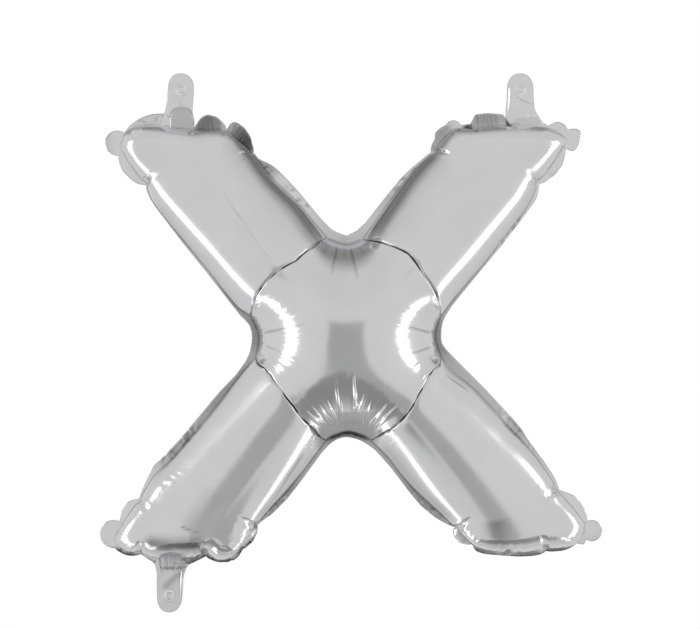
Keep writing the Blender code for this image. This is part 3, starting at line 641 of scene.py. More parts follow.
# Crumpled places of the film: x, z, radius, height of the crumples, in mm
crumples = (
    (-25, -86, 8, 0.20), (34, -88, 7, 0.03), (-66, -18, 5, 0.08), (66, -20, 5, 0.08),
    (-96, -170, 9, 0.12), (96, -156, 9, 0.12), (-140, -172, 12, 0.08), (-88, 146, 6, 0.05),
    (171, -161, 9, 0.08),
)
crumpleWaves = {
    "count": 8,
    "wavelengths": (2.2, 6.0),     # mm
    "mean": 0.64,                  # of such a wave, taken off so that the film keeps its place
}


# Height of the crumples: crossing short waves with seeded directions, each place fading to its rim.
def crumpleHeight(plan, seed):
    rng = np.random.default_rng(seed)
    total = np.zeros(len(plan))
    for x, z, radius, height in crumples:
        waves = np.zeros(len(plan))
        for k in range(crumpleWaves["count"]):
            direction = rng.uniform(0, np.pi)
            wavelength = rng.uniform(*crumpleWaves["wavelengths"])
            run = plan[:, 0] * np.cos(direction) + plan[:, 1] * np.sin(direction)
            wave = np.abs(np.sin(np.pi * run / wavelength + rng.uniform(0, 6)))
            waves += wave - crumpleWaves["mean"]
        total += height * patchShare(plan, x, z, radius) * waves
    return total


# Slow swell of the film; on the foils it fades towards the seam and is less in the middle
swell = {
    "count": 9,
    "wavelengths": (28, 75),       # mm
    "height": 0.035,               # mm, of each wave on the foils
    "seamFade": 12,                # mm
    "middle": (90, 0.25),          # mm from the centre where it is full, and the least share
}


# Slow swell of the film over the plan, as a sum of a few long seeded waves.
def slowSwell(plan, seed, amplitude):
    rng = np.random.default_rng(seed)
    total = np.zeros(len(plan))
    for k in range(swell["count"]):
        direction = rng.uniform(0, np.pi)
        wavelength = rng.uniform(*swell["wavelengths"])
        phase = (plan[:, 0] * np.cos(direction) + plan[:, 1] * np.sin(direction)) / wavelength
        total += np.sin(2 * np.pi * (phase + rng.random()))
    return amplitude * total / 3


# A new object in the scene, for a mesh, a light or a camera.
def newObject(name, data):
    made = bpy.data.objects.new(name, data)
    bpy.context.scene.collection.objects.link(made)
    return made


# Puts a surface into a mesh, with attributes on its points, and hangs it on the frame.
def makePiece(name, points, faces, material, node, attributes=None, wall=0.0):
    mesh = bpy.data.meshes.new(name)
    mesh.from_pydata(points.tolist(), [], [f[:3] if f[2] == f[3] else f for f in faces.tolist()])
    mesh.validate()
    mesh.shade_smooth()
    for key, values in (attributes or {}).items():
        layer = mesh.attributes.new(key, "FLOAT", "POINT")
        layer.data.foreach_set("value", np.asarray(values, np.float32))
    mesh.materials.append(material)
    piece = newObject(name, mesh)
    if wall:
        shell = piece.modifiers.new("film thickness", "SOLIDIFY")
        shell.thickness = wall / 1000
        shell.offset = 0
    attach(piece, "root")
    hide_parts(node)
    return piece


# One foil: four arms and the middle on shared points, then its folds, crimps and swell as moves
# along the surface's own normal.
def buildFoil(name, side, seed, material, seam):
    grids = [armGrid(armSeams[arm]) for arm in armOrder]
    rows, columns = grids[0][1].shape
    plan = [g[0].reshape(-1, 2) for g in grids]
    height = [g[1].ravel() for g in grids]
    index = [np.arange(rows * columns).reshape(rows, columns) + k * rows * columns
             for k in range(4)]
    faces = [gridFaces(i) for i in index]
    count = 4 * rows * columns
    edge, edgePlan, edgeHeight = [], [], []
    for k, middle in enumerate(crotchMiddles):
        grid, following = grids[k], grids[(k + 1) % 4]
        crotch = smoothLine([grid[0][0, -1], middle, following[0][0, 0]],
                            np.linspace(0, 1, foilMesh["crotch"] + 1))[1:-1]
        plan.append(crotch)
        height.append(np.zeros(len(crotch)))
        edge += [index[k][0], np.arange(count, count + len(crotch))]
        edgePlan += [grid[0][0], crotch]
        edgeHeight += [grid[1][0], np.zeros(len(crotch))]
        count += len(crotch)
    edge, edgePlan, edgeHeight = map(np.concatenate, (edge, edgePlan, edgeHeight))
    midPlan, midHeight = middleGrid(edgePlan, edgeHeight)
    plan += [midPlan.reshape(-1, 2), np.zeros((1, 2))]
    height += [midHeight.ravel(), [letter["centreDepth"]]]
    rings = np.arange(midHeight.size).reshape(midHeight.shape) + count
    pole = np.full((1, len(edge)), count + midHeight.size)
    rings = np.concatenate([edge[None], rings, pole])
    faces.append(ringFaces(rings)[:, ::-1])
    plan, height, faces = map(np.concatenate, (plan, height, faces))

    creases = np.concatenate([grid[0][0, 4:-4] for grid in grids])
    fromCrease = nearestDistance(plan, creases)
    plan = plan + pullSeam(plan)
    along, away = besideSeam(plan, seam)
    away = np.where(height < 1e-6, 0, away)
    points = toWorld(plan, height)
    normals = pointNormals(points, faces)
    if normals[count - 1, 1] > 0 and normals[:, 1].mean() > 0:     # turned to the back
        faces = faces[:, ::-1]
        normals = -normals
    edgeFade = np.clip(away / letter["edgeFade"], 0, 1)
    crimping = crimpRows(seam, seed)
    crimp, reach = [np.interp(along % seam["length"], crimping["even"], crimping[key])
                    for key in ("row", "reach")]
    groove = creaseLook["grooveDepth"] * np.exp(-(fromCrease / creaseLook["grooveHalfWidth"])**2)
    groove = groove - creaseGlints(plan, fromCrease, seed + 9)
    shift = (foldDepth(plan, foilFolds) + crimp * np.exp(-(away / reach)**2) - groove
             + fanDepth(plan, seed + 3) + pleatHeight(plan, longPleats)
             + pleatHeight(plan, scatteredPleats(seed + 13))
             + pleatHeight(plan, crossedPleats(seed + 15)) + crumpleHeight(plan, seed + 17))
    far, least = swell["middle"]
    calm = np.clip(away / swell["seamFade"], 0, 1) * np.clip(np.hypot(*plan.T) / far, least, 1)
    shift = shift * edgeFade + slowSwell(plan, seed + 5, swell["height"]) * calm
    points = points + normals * shift[:, None] / 1000
    if side > 0:
        points[:, 1] *= -1
        faces = faces[:, ::-1]
    # Painted shade for the shadow attribute: the crease line, and the listed folds and sides where the
    # film would mirror darker things.
    dark = np.maximum(creaseShadow(plan, fromCrease, seed + 7), paintedMirrorShade(plan, away))
    return makePiece(name + "_film", points, poleLast(faces), material, name,
                     {"seamAlong": along, "seamAway": away, "shadow": dark})


# Points from start to finish along an arc that bows left of the way walked.
def bowedRun(start, finish, rise, steps):
    start, finish = np.array(start, float), np.array(finish, float)
    chord = finish - start
    length = np.hypot(*chord)
    u = np.arange(steps) / steps
    if not rise:
        return start + u[:, None] * chord
    halfAngle = 2 * np.arctan2(abs(rise), length / 2)
    radius = length / 2 / np.sin(halfAngle)
    angle = (2 * u - 1) * halfAngle
    alongChord = length / 2 + radius * np.sin(angle)
    height = np.sign(rise) * radius * (np.cos(angle) - np.cos(halfAngle))
    left = np.array([-chord[1], chord[0]]) / length
    return start + alongChord[:, None] * chord / length + height[:, None] * left


margin = {
    "across": 9,                   # faces across
    "step": 1.0,                   # mm between rows
    "tuck": 1.6,                   # mm that lies between the foils
    "pleatDepth": 0.022,           # pleat depth as a share of the margin's own width
    "pleatSpacing": 2.3,           # mm
    "drift": (0.028, 9),           # how unevenly the pleats follow each other, and mm over which
    "strengthStep": 11,            # mm over which their strength changes
    "ends": (140, 6),              # mm up or down where the scallops begin, and how softly
    "wave": (0.8, 24),             # mm by which it waves slowly, and over how many
    "crinkleStep": 3.0,            # mm between the corners of the crinkles
    "narrow": 2.5,                 # mm of width below which it lies flatter
    "seed": 31,
    "film": 0.3,                   # mm, both foils welded
    "rimLine": 0.45,               # how dark its cut edge looks
    "paleRim": 1.4,                # mm at its edge that the gathered parts leave pale
}

# Outer edge of the margin, clockwise from the top crotch: x, z, and how far the run to the next bows
marginEdge = (
    (0, 79.6, 0), (8, 83.6, 0), (15.2, 90.4, 0), (30.4, 110, 0), (42.4, 124.6, 0.3),
    (54.4, 136, 0.2), (67, 146.2, 0.2), (67.4, 150.8, 0.3), (70, 156, -0.2), (70.4, 161.2, 0.8),
    (79.2, 168, 1), (85.2, 171.8, 1), (91.2, 168, 0), (98.8, 169, 0), (102.4, 176.2, 0.2),
    (112.8, 177.4, 0.2), (124.8, 176.3, 0), (130, 169.5, 0), (158.5, 169.2, 0.2),
    (160.8, 167.2, 0.3), (164.8, 169.4, 0.9), (171.2, 169.9, 0.9), (176.4, 164.4, 0.2),
    (180.8, 165.1, 0.6), (186, 163.6, 0.8), (187.2, 158.4, 0.6), (184.4, 150, 1),
    (178.8, 147.6, 0.8), (175.2, 150.4, 0), (175.2, 148, 0.4), (173.6, 139.6, 0.7),
    (169.6, 132.8, 0.8), (163.2, 126, 0.6), (154.4, 120.8, 0), (153.8, 119.2, 0.3),
    (152.6, 111.6, 0.5), (147.6, 103.2, 0.2), (136, 87.8, 0), (122.4, 70, 0), (106.4, 50.8, 0),
    (92, 33.2, -0.2), (81.6, 19.6, -0.3), (76.8, 10.4, -0.3), (75.6, 0.8, -0.2),
    (76.2, -6.4, -0.3), (80.8, -13, 0), (94.4, -26.8, 0), (110.4, -42.8, 0), (124.8, -58.4, 0.2),
    (138.4, -73.6, 0.2), (144, -82.4, 0), (154.4, -96.4, 0.3), (163.2, -108.8, 0.5),
    (168.4, -119.2, 0.2), (169.6, -123.6, 0), (178.4, -126.8, 0.8), (185.6, -132.4, 0.8),
    (190.4, -140.4, 0.8), (192.2, -148.8, 12.4), (191.6, -163.6, 0), (190.4, -166.4, 0.8),
    (186.4, -166.8, 0.4), (184, -166.4, 0.2), (178.4, -170.4, 0.6), (168.8, -172.8, 0.4),
    (159.2, -172.8, 0.3), (154.4, -175.6, 0.3), (144.8, -177, 0.3), (131.2, -176.8, 0.2),
    (114.4, -175.6, 0.4), (105.6, -173.8, 1), (100.8, -168.4, 0), (99.6, -167.2, 0.5),
    (94, -167.2, 0.9), (88, -163.6, 0.9), (85.4, -157.6, 0.8), (86.8, -154.2, 0),
    (80.8, -151.6, 0.2), (70.4, -145.6, 0.3), (58.4, -135.6, 0.2), (46.4, -121.2, 0),
    (34.4, -105.2, 0), (23.2, -92.8, -0.3), (12, -84.8, -0.5), (0, -81.6, -0.5), (-8, -83.4, -0.4),
    (-15.2, -88.8, -0.3), (-22.4, -97.2, 0), (-37.6, -118, 0), (-46.4, -129.2, 0.2),
    (-58.4, -141.6, 0.3), (-68, -148.8, 0), (-71.4, -151.8, 0), (-71.6, -155.2, 0.4),
    (-74.4, -162.8, 0.7), (-79.2, -168.4, 0.5), (-82.8, -170.8, 0), (-85.6, -175.2, 0.3),
    (-88.8, -178.8, 0.4), (-93.2, -180.4, 0), (-94.8, -181.6, 0), (-101.6, -181.8, 0.4),
    (-108.4, -179.8, 0.4), (-112.8, -176.8, 0), (-119.2, -180, 0), (-125.6, -183, 0),
    (-154.8, -181.8, 0), (-160, -178.6, 0), (-165, -175.2, 0), (-166.8, -175.8, 0.5),
    (-174.8, -176.4, 0.5), (-181.6, -173.8, 0.4), (-185.8, -170.4, 14), (-182.2, -148.8, 0),
    (-180.4, -140.8, 0.5), (-176, -134.2, 0.8), (-167.6, -131.2, 0), (-166.4, -130, 0),
    (-163.2, -122, -0.1), (-160, -114.4, 0), (-155.6, -105.6, 0.3), (-149.6, -100, 0.2),
    (-146.4, -96.8, 0), (-133.6, -83.2, 0), (-117.6, -64, 0), (-101.6, -44.8, 0),
    (-88.8, -31.6, 0), (-81.6, -21.6, -0.3), (-77.6, -11.2, -0.3), (-76.4, 0.4, -0.3),
    (-78.4, 8, -0.3), (-84.8, 14.8, 0), (-93.6, 26, 0), (-113.6, 51.6, 0), (-133.6, 76.4, 0),
    (-145.6, 92.4, 0.2), (-156, 106.4, 0.3), (-160.4, 116, 0.2), (-161.2, 119.8, 0),
    (-168, 121.2, 0.5), (-176, 127.6, 0.6), (-182, 135.6, 0.5), (-183, 143.6, 13.2),
    (-178, 162, 0), (-174.8, 166.4, 0.3), (-168.8, 171.2, 0.4), (-160.8, 175.2, 0.3),
    (-152, 177.2, 0), (-146.2, 177.2, 0), (-123, 165.2, 0), (-118.4, 171.6, 0.4),
    (-113.6, 175.2, 0.8), (-108, 175.2, 0.8), (-101.6, 172, 0.8), (-96.4, 165.4, 0),
    (-94.8, 164.6, 0), (-93.6, 168.8, 0.3), (-90.4, 170.4, 0.6), (-84.8, 167.6, 0.7),
    (-79.2, 161.6, 0.7), (-76, 153.6, 0.4), (-74.5, 146, 0), (-71.2, 141.4, 0),
    (-61.6, 136.8, 0.3), (-53.6, 130.4, 0.2), (-37.6, 113.4, 0), (-21.6, 94, -0.2),
    (-12, 84.4, -0.4),
)

# Scallops that lean back: x, z, half width in mm, and how far the outer edge goes back in mm
marginLean = (
    (-109, 174, 11, -5.0), (-82, 160, 12, -6.0), (113, 170, 15, -2.4), (75, 160, 12, -3.6),
    (188, 156, 8, 0.6), (-186, 153, 8, 0.6), (168, -172, 12, 2.0), (145, -175, 12, 2.4),
    (116, -172, 14, 4.0), (91, -160, 9, 4.6), (-77, -162, 9, 4.6), (-102, -177, 11, 3.4),
    (-176, -174, 8, 2.0), (-189, -160, 9, 0.8), (170, 136, 10, -1.0), (181, -135, 10, 1.0),
    (-172, 133, 10, -1.0), (-174, -141, 9, 1.5),
)

# Gathered parts of the margin given painted shade, where they would mirror darker things: x, z, half
# width in mm, how dark from 0 to 1, and whether all over (0) or towards its outer rim (1)
marginPaintedShade = (
    (-112, 170, 13, 0.75, 0), (-82, 160, 16, 0.8, 0), (-64, 137, 12, 0.5, 0),
    (-155, 172, 12, 0.1, 0), (77, 160, 12, 0.35, 0), (112, 173, 14, 0.5, 0),
    (96, 170, 4, 1.0, 0), (127, 170, 4, 1.0, 0), (-96, -177, 11, 0.95, 1),
    (-110, -178, 8, 0.9, 1), (-82, -166, 14, 1.0, 1), (-175, -175, 12, 0.85, 1),
    (-150, -180, 13, 0.5, 1), (-122, -180, 8, 0.6, 1), (92, -160, 12, 0.4, 0),
    (110, -174, 14, 0.6, 1), (140, -176, 16, 0.5, 1), (166, -173, 10, 0.7, 1), (0, -82, 14, 0.7, 0),
    (-135, -85, 22, 0.45, 0), (-100, -42, 30, 0.3, 0), (134, -78, 14, 0.35, 0),
    (-138, 82, 16, 0.25, 0), (-92, 24, 18, 0.3, 0), (-78, 2, 14, 0.4, 0), (78, -2, 14, 0.4, 0),
    (46, 122, 22, 0.12, 0), (60, -138, 26, 0.35, 0), (-55, -132, 22, 0.4, 0),
    (-194, 153, 9, 0.12, 1), (195, -157, 9, 0.12, 1),
)

# Crinkled runs of the margin: x, z, half width in mm and height of the crinkles in mm
marginCrinkles = (
    (-152, 172, 15, 1.0), (-136, -84, 20, 0.6), (134, -76, 18, 0.55), (132, 84, 18, 0.5),
    (-38, 114, 16, 0.35), (-63, 138, 8, 0.4), (77, 160, 14, 0.45), (-60, -140, 22, 0.5),
    (-138, -182, 16, 0.3), (120, -176, 18, 0.3), (48, 128, 16, 0.3), (62, -138, 18, 0.4),
)


# Darkness of the margin: painted shade on the listed gathered parts, less near a pale rim, and dark
# lines at the weld and at its cut edge.
def marginShadow(outer, v, width):
    away = v * width
    rim = np.clip((width - away) / margin["paleRim"], 0, 1)
    dark = np.zeros_like(away)
    for x, z, halfWidth, amount, atRim in marginPaintedShade:
        across = np.clip((v - 0.35) / 0.45, 0, 1)**1.5 if atRim else rim
        dark = np.maximum(dark, amount * patchShare(outer, x, z, halfWidth) * across)
    weld = 0.5 * np.exp(-((away - margin["tuck"] - 0.3) / 0.5)**2)
    weld = weld + margin["rimLine"] * np.exp(-((width - away) / 0.45)**2)
    return np.clip(dark + weld, 0, 1)


# How far the margin stands back: it leans at the scallops, waves slowly, and carries pleats that
# grow outwards and crinkles, which are seeded zigzags with a hump across, a slope and a double hump.
def marginRelief(outer, run, v, width):
    rng = np.random.default_rng(margin["seed"])
    drift, driftStep = margin["drift"]
    uneven = unevenRun(run, run[-1], driftStep, rng.standard_normal)
    phase = 2 * np.pi * run / margin["pleatSpacing"] + drift * uneven.cumsum()
    strength = unevenRun(run, run[-1], margin["strengthStep"], rng.random)
    scallop = endShare(outer[:, 1], *margin["ends"])
    pleats = (margin["pleatDepth"] * width * (0.03 + scallop * (0.3 + 0.9 * strength))
              * np.sin(phase) * v**1.3)
    lean = sum(back * patchShare(outer, x, z, halfWidth) for x, z, halfWidth, back in marginLean)
    height, waveStep = margin["wave"]
    wave = (height * (0.25 + 0.75 * scallop)
            * unevenRun(run, run[-1], waveStep, rng.standard_normal))
    crinkled = np.max([rise * patchShare(outer, x, z, halfWidth)
                       for x, z, halfWidth, rise in marginCrinkles], axis=0)
    knots = np.arange(0, run[-1] + margin["crinkleStep"], margin["crinkleStep"])
    zigzag = [np.interp(run, knots + rng.uniform(-0.9, 0.9, len(knots)),
                        rng.uniform(-1, 1, len(knots))) for k in range(3)]
    crinkles = crinkled * (zigzag[0] * np.sin(np.pi * v) + zigzag[1] * v
                           + zigzag[2] * np.sin(2 * np.pi * v) * 0.7)
    back = lean * v**1.4 + wave * v * np.minimum(width, 6) / 6 + pleats + crinkles
    return back * np.clip(width / margin["narrow"], 0, 1)


# Values of the seam, its points or a direction, at places along it.
def readSeam(seam, key, place):
    return np.stack([np.interp(place, seam["along"], seam[key][:, k], period=seam["length"])
                     for k in (0, 1)], axis=1)


# The welded margin: rows from the seam out to its own edge, each run of the edge tied to the seam
# points nearest its ends.
def buildMargin(seam, material):
    corners = np.array([c[:2] for c in marginEdge], float)
    nearest = [int(np.argmin(np.hypot(*(seam["points"] - c).T))) for c in corners]
    tied = np.unwrap(seam["along"][nearest], period=seam["length"])
    outer, place = [], []
    for k, (x, z, rise) in enumerate(marginEdge):
        following = corners[(k + 1) % len(corners)]
        far = tied[k + 1] if k + 1 < len(tied) else tied[0] + seam["length"]
        steps = int(np.ceil((np.hypot(*(following - (x, z))) + 2 * abs(rise)) / margin["step"]))
        outer.append(bowedRun((x, z), following, rise, steps))
        place.append(tied[k] + (far - tied[k]) * np.arange(steps) / steps)
    outer, place = np.concatenate(outer), np.concatenate(place) % seam["length"]
    inner = readSeam(seam, "points", place) + readSeam(seam, "inward", place) * margin["tuck"]
    v = np.linspace(0, 1, margin["across"] + 1)[:, None]
    plan = (1 - v[..., None]) * inner + v[..., None] * outer
    width = np.hypot(*(outer - inner).T)
    run = np.concatenate([[0], np.cumsum(np.hypot(*np.diff(outer, axis=0).T))])
    points = toWorld(plan, -marginRelief(outer, run, v, width))
    faces = ringFaces(np.arange(plan[..., 0].size).reshape(plan.shape[:2]))
    return makePiece("seam_band_film", points.reshape(-1, 3), faces, material,
                     "seam_band",
                     {"seamAlong": (run + 0 * v).ravel(), "seamAway": (v * width).ravel(),
                      "shadow": marginShadow(outer, v, width).ravel()}, margin["film"])


# Each tab: its hole, both side edges down to its foot, the edge round its tip, folds like those of the
# foils, and its pocket as x, z, half width, half height and rise
tabs = {
    "hanging_tab_left": {
        "hole": (-133, 196.5),
        "left": [(-143.2, 196.5), (-144, 188), (-144.8, 182), (-146.4, 177.5), (-150, 166)],
        "right": [(-122.4, 196.5), (-123.1, 186), (-123.5, 178.5), (-122.9, 175), (-121.8, 170.4),
                  (-122.8, 165)],
        "tip": [(-143.2, 196.5), (-142.4, 202.5), (-138.6, 207.8), (-132.8, 209.4),
                (-127, 207.6), (-123.2, 202.5), (-122.4, 196.5)],
        "ridges": ((-144.2, 193, -145, 178, 0.9, -0.8), (-134, 187, -131, 181, 1.4, 0.2)),
        "pocket": (-132.4, 168.6, 9.2, 13.0, 2.2),
    },
    "hanging_tab_right": {
        "hole": (139, 196.5),
        "left": [(128, 196.5), (127.8, 188), (127, 180), (127, 175), (130, 164)],
        "right": [(149.2, 196.5), (149.6, 187), (150.6, 180), (154, 174), (161, 164)],
        "tip": [(128, 196.5), (129, 202.5), (132.8, 207.8), (138.6, 209.4),
                (144.6, 207.6), (148.2, 202.5), (149.2, 196.5)],
        "ridges": ((128.6, 192, 127.8, 173, 1.1, -0.9), (138, 188.5, 149, 184.0, 0.8, 0.3),
                   (143.5, 176, 142.5, 170, 1.6, -0.8)),
        "pocket": (144, 168, 10.0, 6.0, 1.0),
    },
    "inflation_tab": {
        "hole": (-142.5, -208.5),
        "left": [(-131.7, -208.5), (-130.9, -200), (-129.8, -190), (-127.8, -185.5),
                 (-124, -181), (-118, -172)],
        "right": [(-152, -208.5), (-152.3, -200), (-152.4, -190), (-153.4, -185),
                  (-156.5, -180), (-163, -172)],
        "tip": [(-131.7, -208.5), (-132.8, -215), (-136.6, -220), (-142.2, -221.8),
                (-147.8, -220), (-151.2, -215), (-152, -208.5)],
        "ridges": ((-129, -187, -148, -204, 3.0, 0.5), (-131.8, -194, -133.2, -212, 1.0, -0.7),
                   (-136, -178, -139, -190, 1.3, 0.5), (-144, -177, -143, -189, 1.2, 0.55),
                   (-149, -178, -147.5, -190, 1.3, 0.5), (-130, -180, -135, -187, 1.3, 0.5)),
        "pocket": (-140, -182, 13.0, 5.0, 1.6),
    },
}
tabMesh = {
    "tip": 96,                     # faces round the tip, down each side and along the foot
    "side": 60,
    "base": 60,
    "rings": 44,                   # faces from the hole out to the edge
    "hole": 4.0,                   # mm, its radius
    "lip": (0.22, 0.6, 0.4),       # mm, height of the lip round it, distance from it, half width
    "roll": 0.35,                  # mm, of each slow wave
    "film": 0.3,                   # mm
}
discShape = {
    "radius": 3.8,                 # mm
    "rings": 26,
    "steps": 96,                   # faces round it
    "ring": 2.4,                   # mm, radius of the pressed ring
    "ringHeight": 0.28,
    "ringHalfWidth": 0.35,
    "dome": 0.15,                  # mm that its middle stands forward
}


# A tab between its hole and its outline: straight rays from the hole over the tip, and below it
# rays in a frame that follows both side edges, so that they stay inside the flared foot.
def tabGrid(shape):
    hole = np.array(shape["hole"], float)
    radius = tabMesh["hole"]
    tip = smoothLine(shape["tip"], np.linspace(0, 1, tabMesh["tip"] + 1))
    ray = tip - hole
    start = hole + radius * ray / np.linalg.norm(ray, axis=1)[:, None]
    ring = np.linspace(0, 1, tabMesh["rings"] + 1)[:, None]
    upper = (1 - ring[..., None]) * start + ring[..., None] * tip
    side = np.linspace(0, 1, tabMesh["side"] + 1)
    base = np.linspace(1, 0, tabMesh["base"] + 1)
    rimU = np.concatenate([np.ones(tabMesh["side"]), base, np.zeros(tabMesh["side"])])
    rimV = np.concatenate([side[:-1], np.ones(len(base)), side[::-1][1:]])
    left, right = np.array(shape["left"], float), np.array(shape["right"], float)
    foot = abs(left[-1, 1] - hole[1])
    holeU = (hole[0] - left[0, 0]) / (right[0, 0] - left[0, 0])
    across = (rimU - holeU) * abs(right[0, 0] - left[0, 0])
    down = rimV * foot
    turn = np.arctan2(down, across)
    width = abs(right[0, 0] - left[0, 0])
    u = (1 - ring) * (holeU + radius * np.cos(turn) / width) + ring * rimU
    v = (1 - ring) * (radius * np.sin(turn) / foot) + ring * rimV
    leftEdge = smoothLine(left, v.ravel()).reshape(*v.shape, 2)
    rightEdge = smoothLine(right, v.ravel()).reshape(*v.shape, 2)
    lower = (1 - u[..., None]) * leftEdge + u[..., None] * rightEdge
    return np.concatenate([upper, lower[:, 1:-1]], axis=1)


# Forward height of a tab's film at plan points: its folds, an inflated pocket with a flat foot,
# a pressed lip round the hole, and a slight roll.
def tabRelief(plan, shape, seed):
    flat = plan.reshape(-1, 2)
    x, z, halfWidth, halfHeight, rise = shape["pocket"]
    dome = 1 - np.abs((flat[:, 0] - x) / halfWidth)**3 - np.abs((flat[:, 1] - z) / halfHeight)**3
    pocket = rise * np.sqrt(np.clip(dome, 0, 1) + 0.004) - rise * 0.063    # 0.063 is 0.004's root
    fromHole = np.hypot(flat[:, 0] - shape["hole"][0], flat[:, 1] - shape["hole"][1])
    lipHeight, lipPlace, lipHalfWidth = tabMesh["lip"]
    lip = lipHeight * np.exp(-((fromHole - tabMesh["hole"] - lipPlace) / lipHalfWidth)**2)
    roll = slowSwell(flat, seed, tabMesh["roll"])
    return (foldDepth(flat, shape["ridges"]) + pocket + lip + roll).reshape(plan.shape[:2])


# Darkness of a tab: a dark line at its cut edge, and painted shade along the outline of its pocket, over
# the pocket and along its listed folds.
def tabShade(plan, shape):
    flat = plan.reshape(-1, 2)
    inward = np.linalg.norm(plan - plan[-1:], axis=-1).ravel()
    x, z, halfWidth, halfHeight, rise = shape["pocket"]
    away = (np.abs((flat[:, 0] - x) / halfWidth)**3
            + np.abs((flat[:, 1] - z) / halfHeight)**3)**(1 / 3)
    total = 0.4 * np.exp(-(inward / 0.45)**2)
    total = np.maximum(total, 0.2 * rise * np.exp(-((away - 1) * halfWidth / 0.6)**2))
    total = np.maximum(total, 0.13 * rise * np.clip((1 - away) * 8, 0, 1))
    for x0, z0, x1, z1, halfWidth, depth in shape["ridges"]:
        u, v = besideLine(flat, x0, z0, x1, z1)
        across = np.exp(-(v / halfWidth)**2)
        total = np.maximum(total, 0.6 * max(depth, 0) * softEnds(u, 0.15) * across)
    return total


# A tab: its grid moved forward by its relief.
def buildTab(name, seed, material):
    shape = tabs[name]
    plan = tabGrid(shape)
    forward = tabRelief(plan, shape, seed)
    points = toWorld(plan, forward).reshape(-1, 3)
    faces = ringFaces(np.arange(forward.size).reshape(forward.shape))
    return makePiece(name + "_film", points, facingFront(points, faces), material, name,
                     {"shadow": tabShade(plan, shape)}, tabMesh["film"])


# The cut disc in a hole: rings about its centre, with a pressed ring and a slight dome.
def buildDisc(name, tabName, tilt, material):
    hole = np.array(tabs[tabName]["hole"], float)
    radius = np.linspace(1, 0, discShape["rings"] + 1)[:-1, None] * discShape["radius"]
    angle = np.linspace(0, 2 * np.pi, discShape["steps"], endpoint=False)
    plan = hole + np.stack([radius * np.cos(angle), radius * np.sin(angle)], axis=-1)
    fromRing = (radius - discShape["ring"]) / discShape["ringHalfWidth"]
    dome = discShape["dome"] * (1 - (radius / discShape["radius"])**2)
    forward = (discShape["ringHeight"] * np.exp(-fromRing**2)
               + tilt * (plan[..., 0] - hole[0]) + dome)
    points = np.concatenate([toWorld(plan, forward).reshape(-1, 3),
                             toWorld(hole[None], np.array([discShape["dome"]]))])
    index = np.arange(forward.size).reshape(forward.shape)
    index = np.concatenate([index, np.full((1, index.shape[1]), forward.size)])
    faces = poleLast(facingFront(points, ringFaces(index)))
    return makePiece(name + "_film", points, faces, material, name,
                     None, tabMesh["film"])


# A colour with one value for red, green and blue.
def grey(value):
    return value, value, value, 1


# A socket that sums, differences and products can be written with; colours go through Tree.mix.
class Signal:
    def __init__(self, tree, socket):
        self.tree = tree
        self.socket = socket

    def math(self, operation, *others):
        return self.tree.add("ShaderNodeMath", {"operation": operation}, self, *others)

    def __add__(self, other):
        return self.math("ADD", other)

    def __sub__(self, other):
        return self.math("SUBTRACT", other)

    def __mul__(self, other):
        return self.math("MULTIPLY", other)

    def __rsub__(self, other):
        return (self * -1.0) + other

    __radd__ = __add__
    __rmul__ = __mul__


# A material's or the world's nodes: add() takes a node's type, its settings, then its sockets; the
# methods after it are for the kinds that come often.
class Tree:
    def __init__(self, owner):
        owner.use_nodes = True
        self.nodes = owner.node_tree.nodes
        self.links = owner.node_tree.links

    def add(self, kind, settings=None, *values, out=0, **named):
        node = self.nodes.new(kind)
        for key, value in (settings or {}).items():
            if key == "stops":
                ramp = node.color_ramp
                while len(ramp.elements) < len(value):
                    ramp.elements.new(0.5)
                for element, (place, shade) in zip(ramp.elements, value):
                    element.position = place
                    element.color = grey(shade)
            else:
                setattr(node, key, value)
        for socket, value in [*enumerate(values), *named.items()]:
            self.join(value, node.inputs[socket])
        return Signal(self, node.outputs[out])

    def noise(self, place, scale, detail, roughness=0.5):
        return self.add("ShaderNodeTexNoise", None, Vector=place, Scale=scale, Detail=detail,
                        Roughness=roughness)

    def attribute(self, name):
        return self.add("ShaderNodeAttribute", {"attribute_name": name}, out=2)

    def mix(self, share, first, second):
        mixed = self.add("ShaderNodeMix", {"data_type": "RGBA"}, out=2)
        for number, value in ((0, share), (6, first), (7, second)):
            self.join(value, mixed.socket.node.inputs[number])
        return mixed

    def join(self, value, socket):
        if isinstance(value, Signal):
            self.links.new(value.socket, socket)
        else:
            socket.default_value = value


filmFinish = {
    "bright": (0.86, 0.86, 0.87),
    "dull": (0.78, 0.78, 0.79),
    # colour of the painted shade, mixed in as far as the piece's shadow attribute says
    "shadow": (0.06, 0.06, 0.06),  # in the creases, where the film mirrors itself
    "roughness": 0.18,
    "roughnessSpread": 0.07,       # of its cloudy patches
    "clouds": 38.0,                # patches a metre
    "streakSpread": 0.03,          # of its finer ones
    "streaks": 140.0,
    "grain": 900.0,                # grains a metre
    "grainHeight": 0.00002,
    "crimpHeight": 0.00025,
    "crimpStretch": (0.9, 0.05),   # crimps a millimetre along the seam and away from it
    "crimpPatches": 0.06,          # patches a millimetre where they are stronger
    # on the margin the painted shade is broken by noise into lines across it
    "lineStretch": (0.8, 0.06),    # the same for the dark lines across the margin
    "lineContrast": (1.3, 0.3),    # their share of its darkness, and the least
}
marginFinish = {**filmFinish, "roughness": 0.22}
tabFinish = {**filmFinish, "roughness": 0.32}
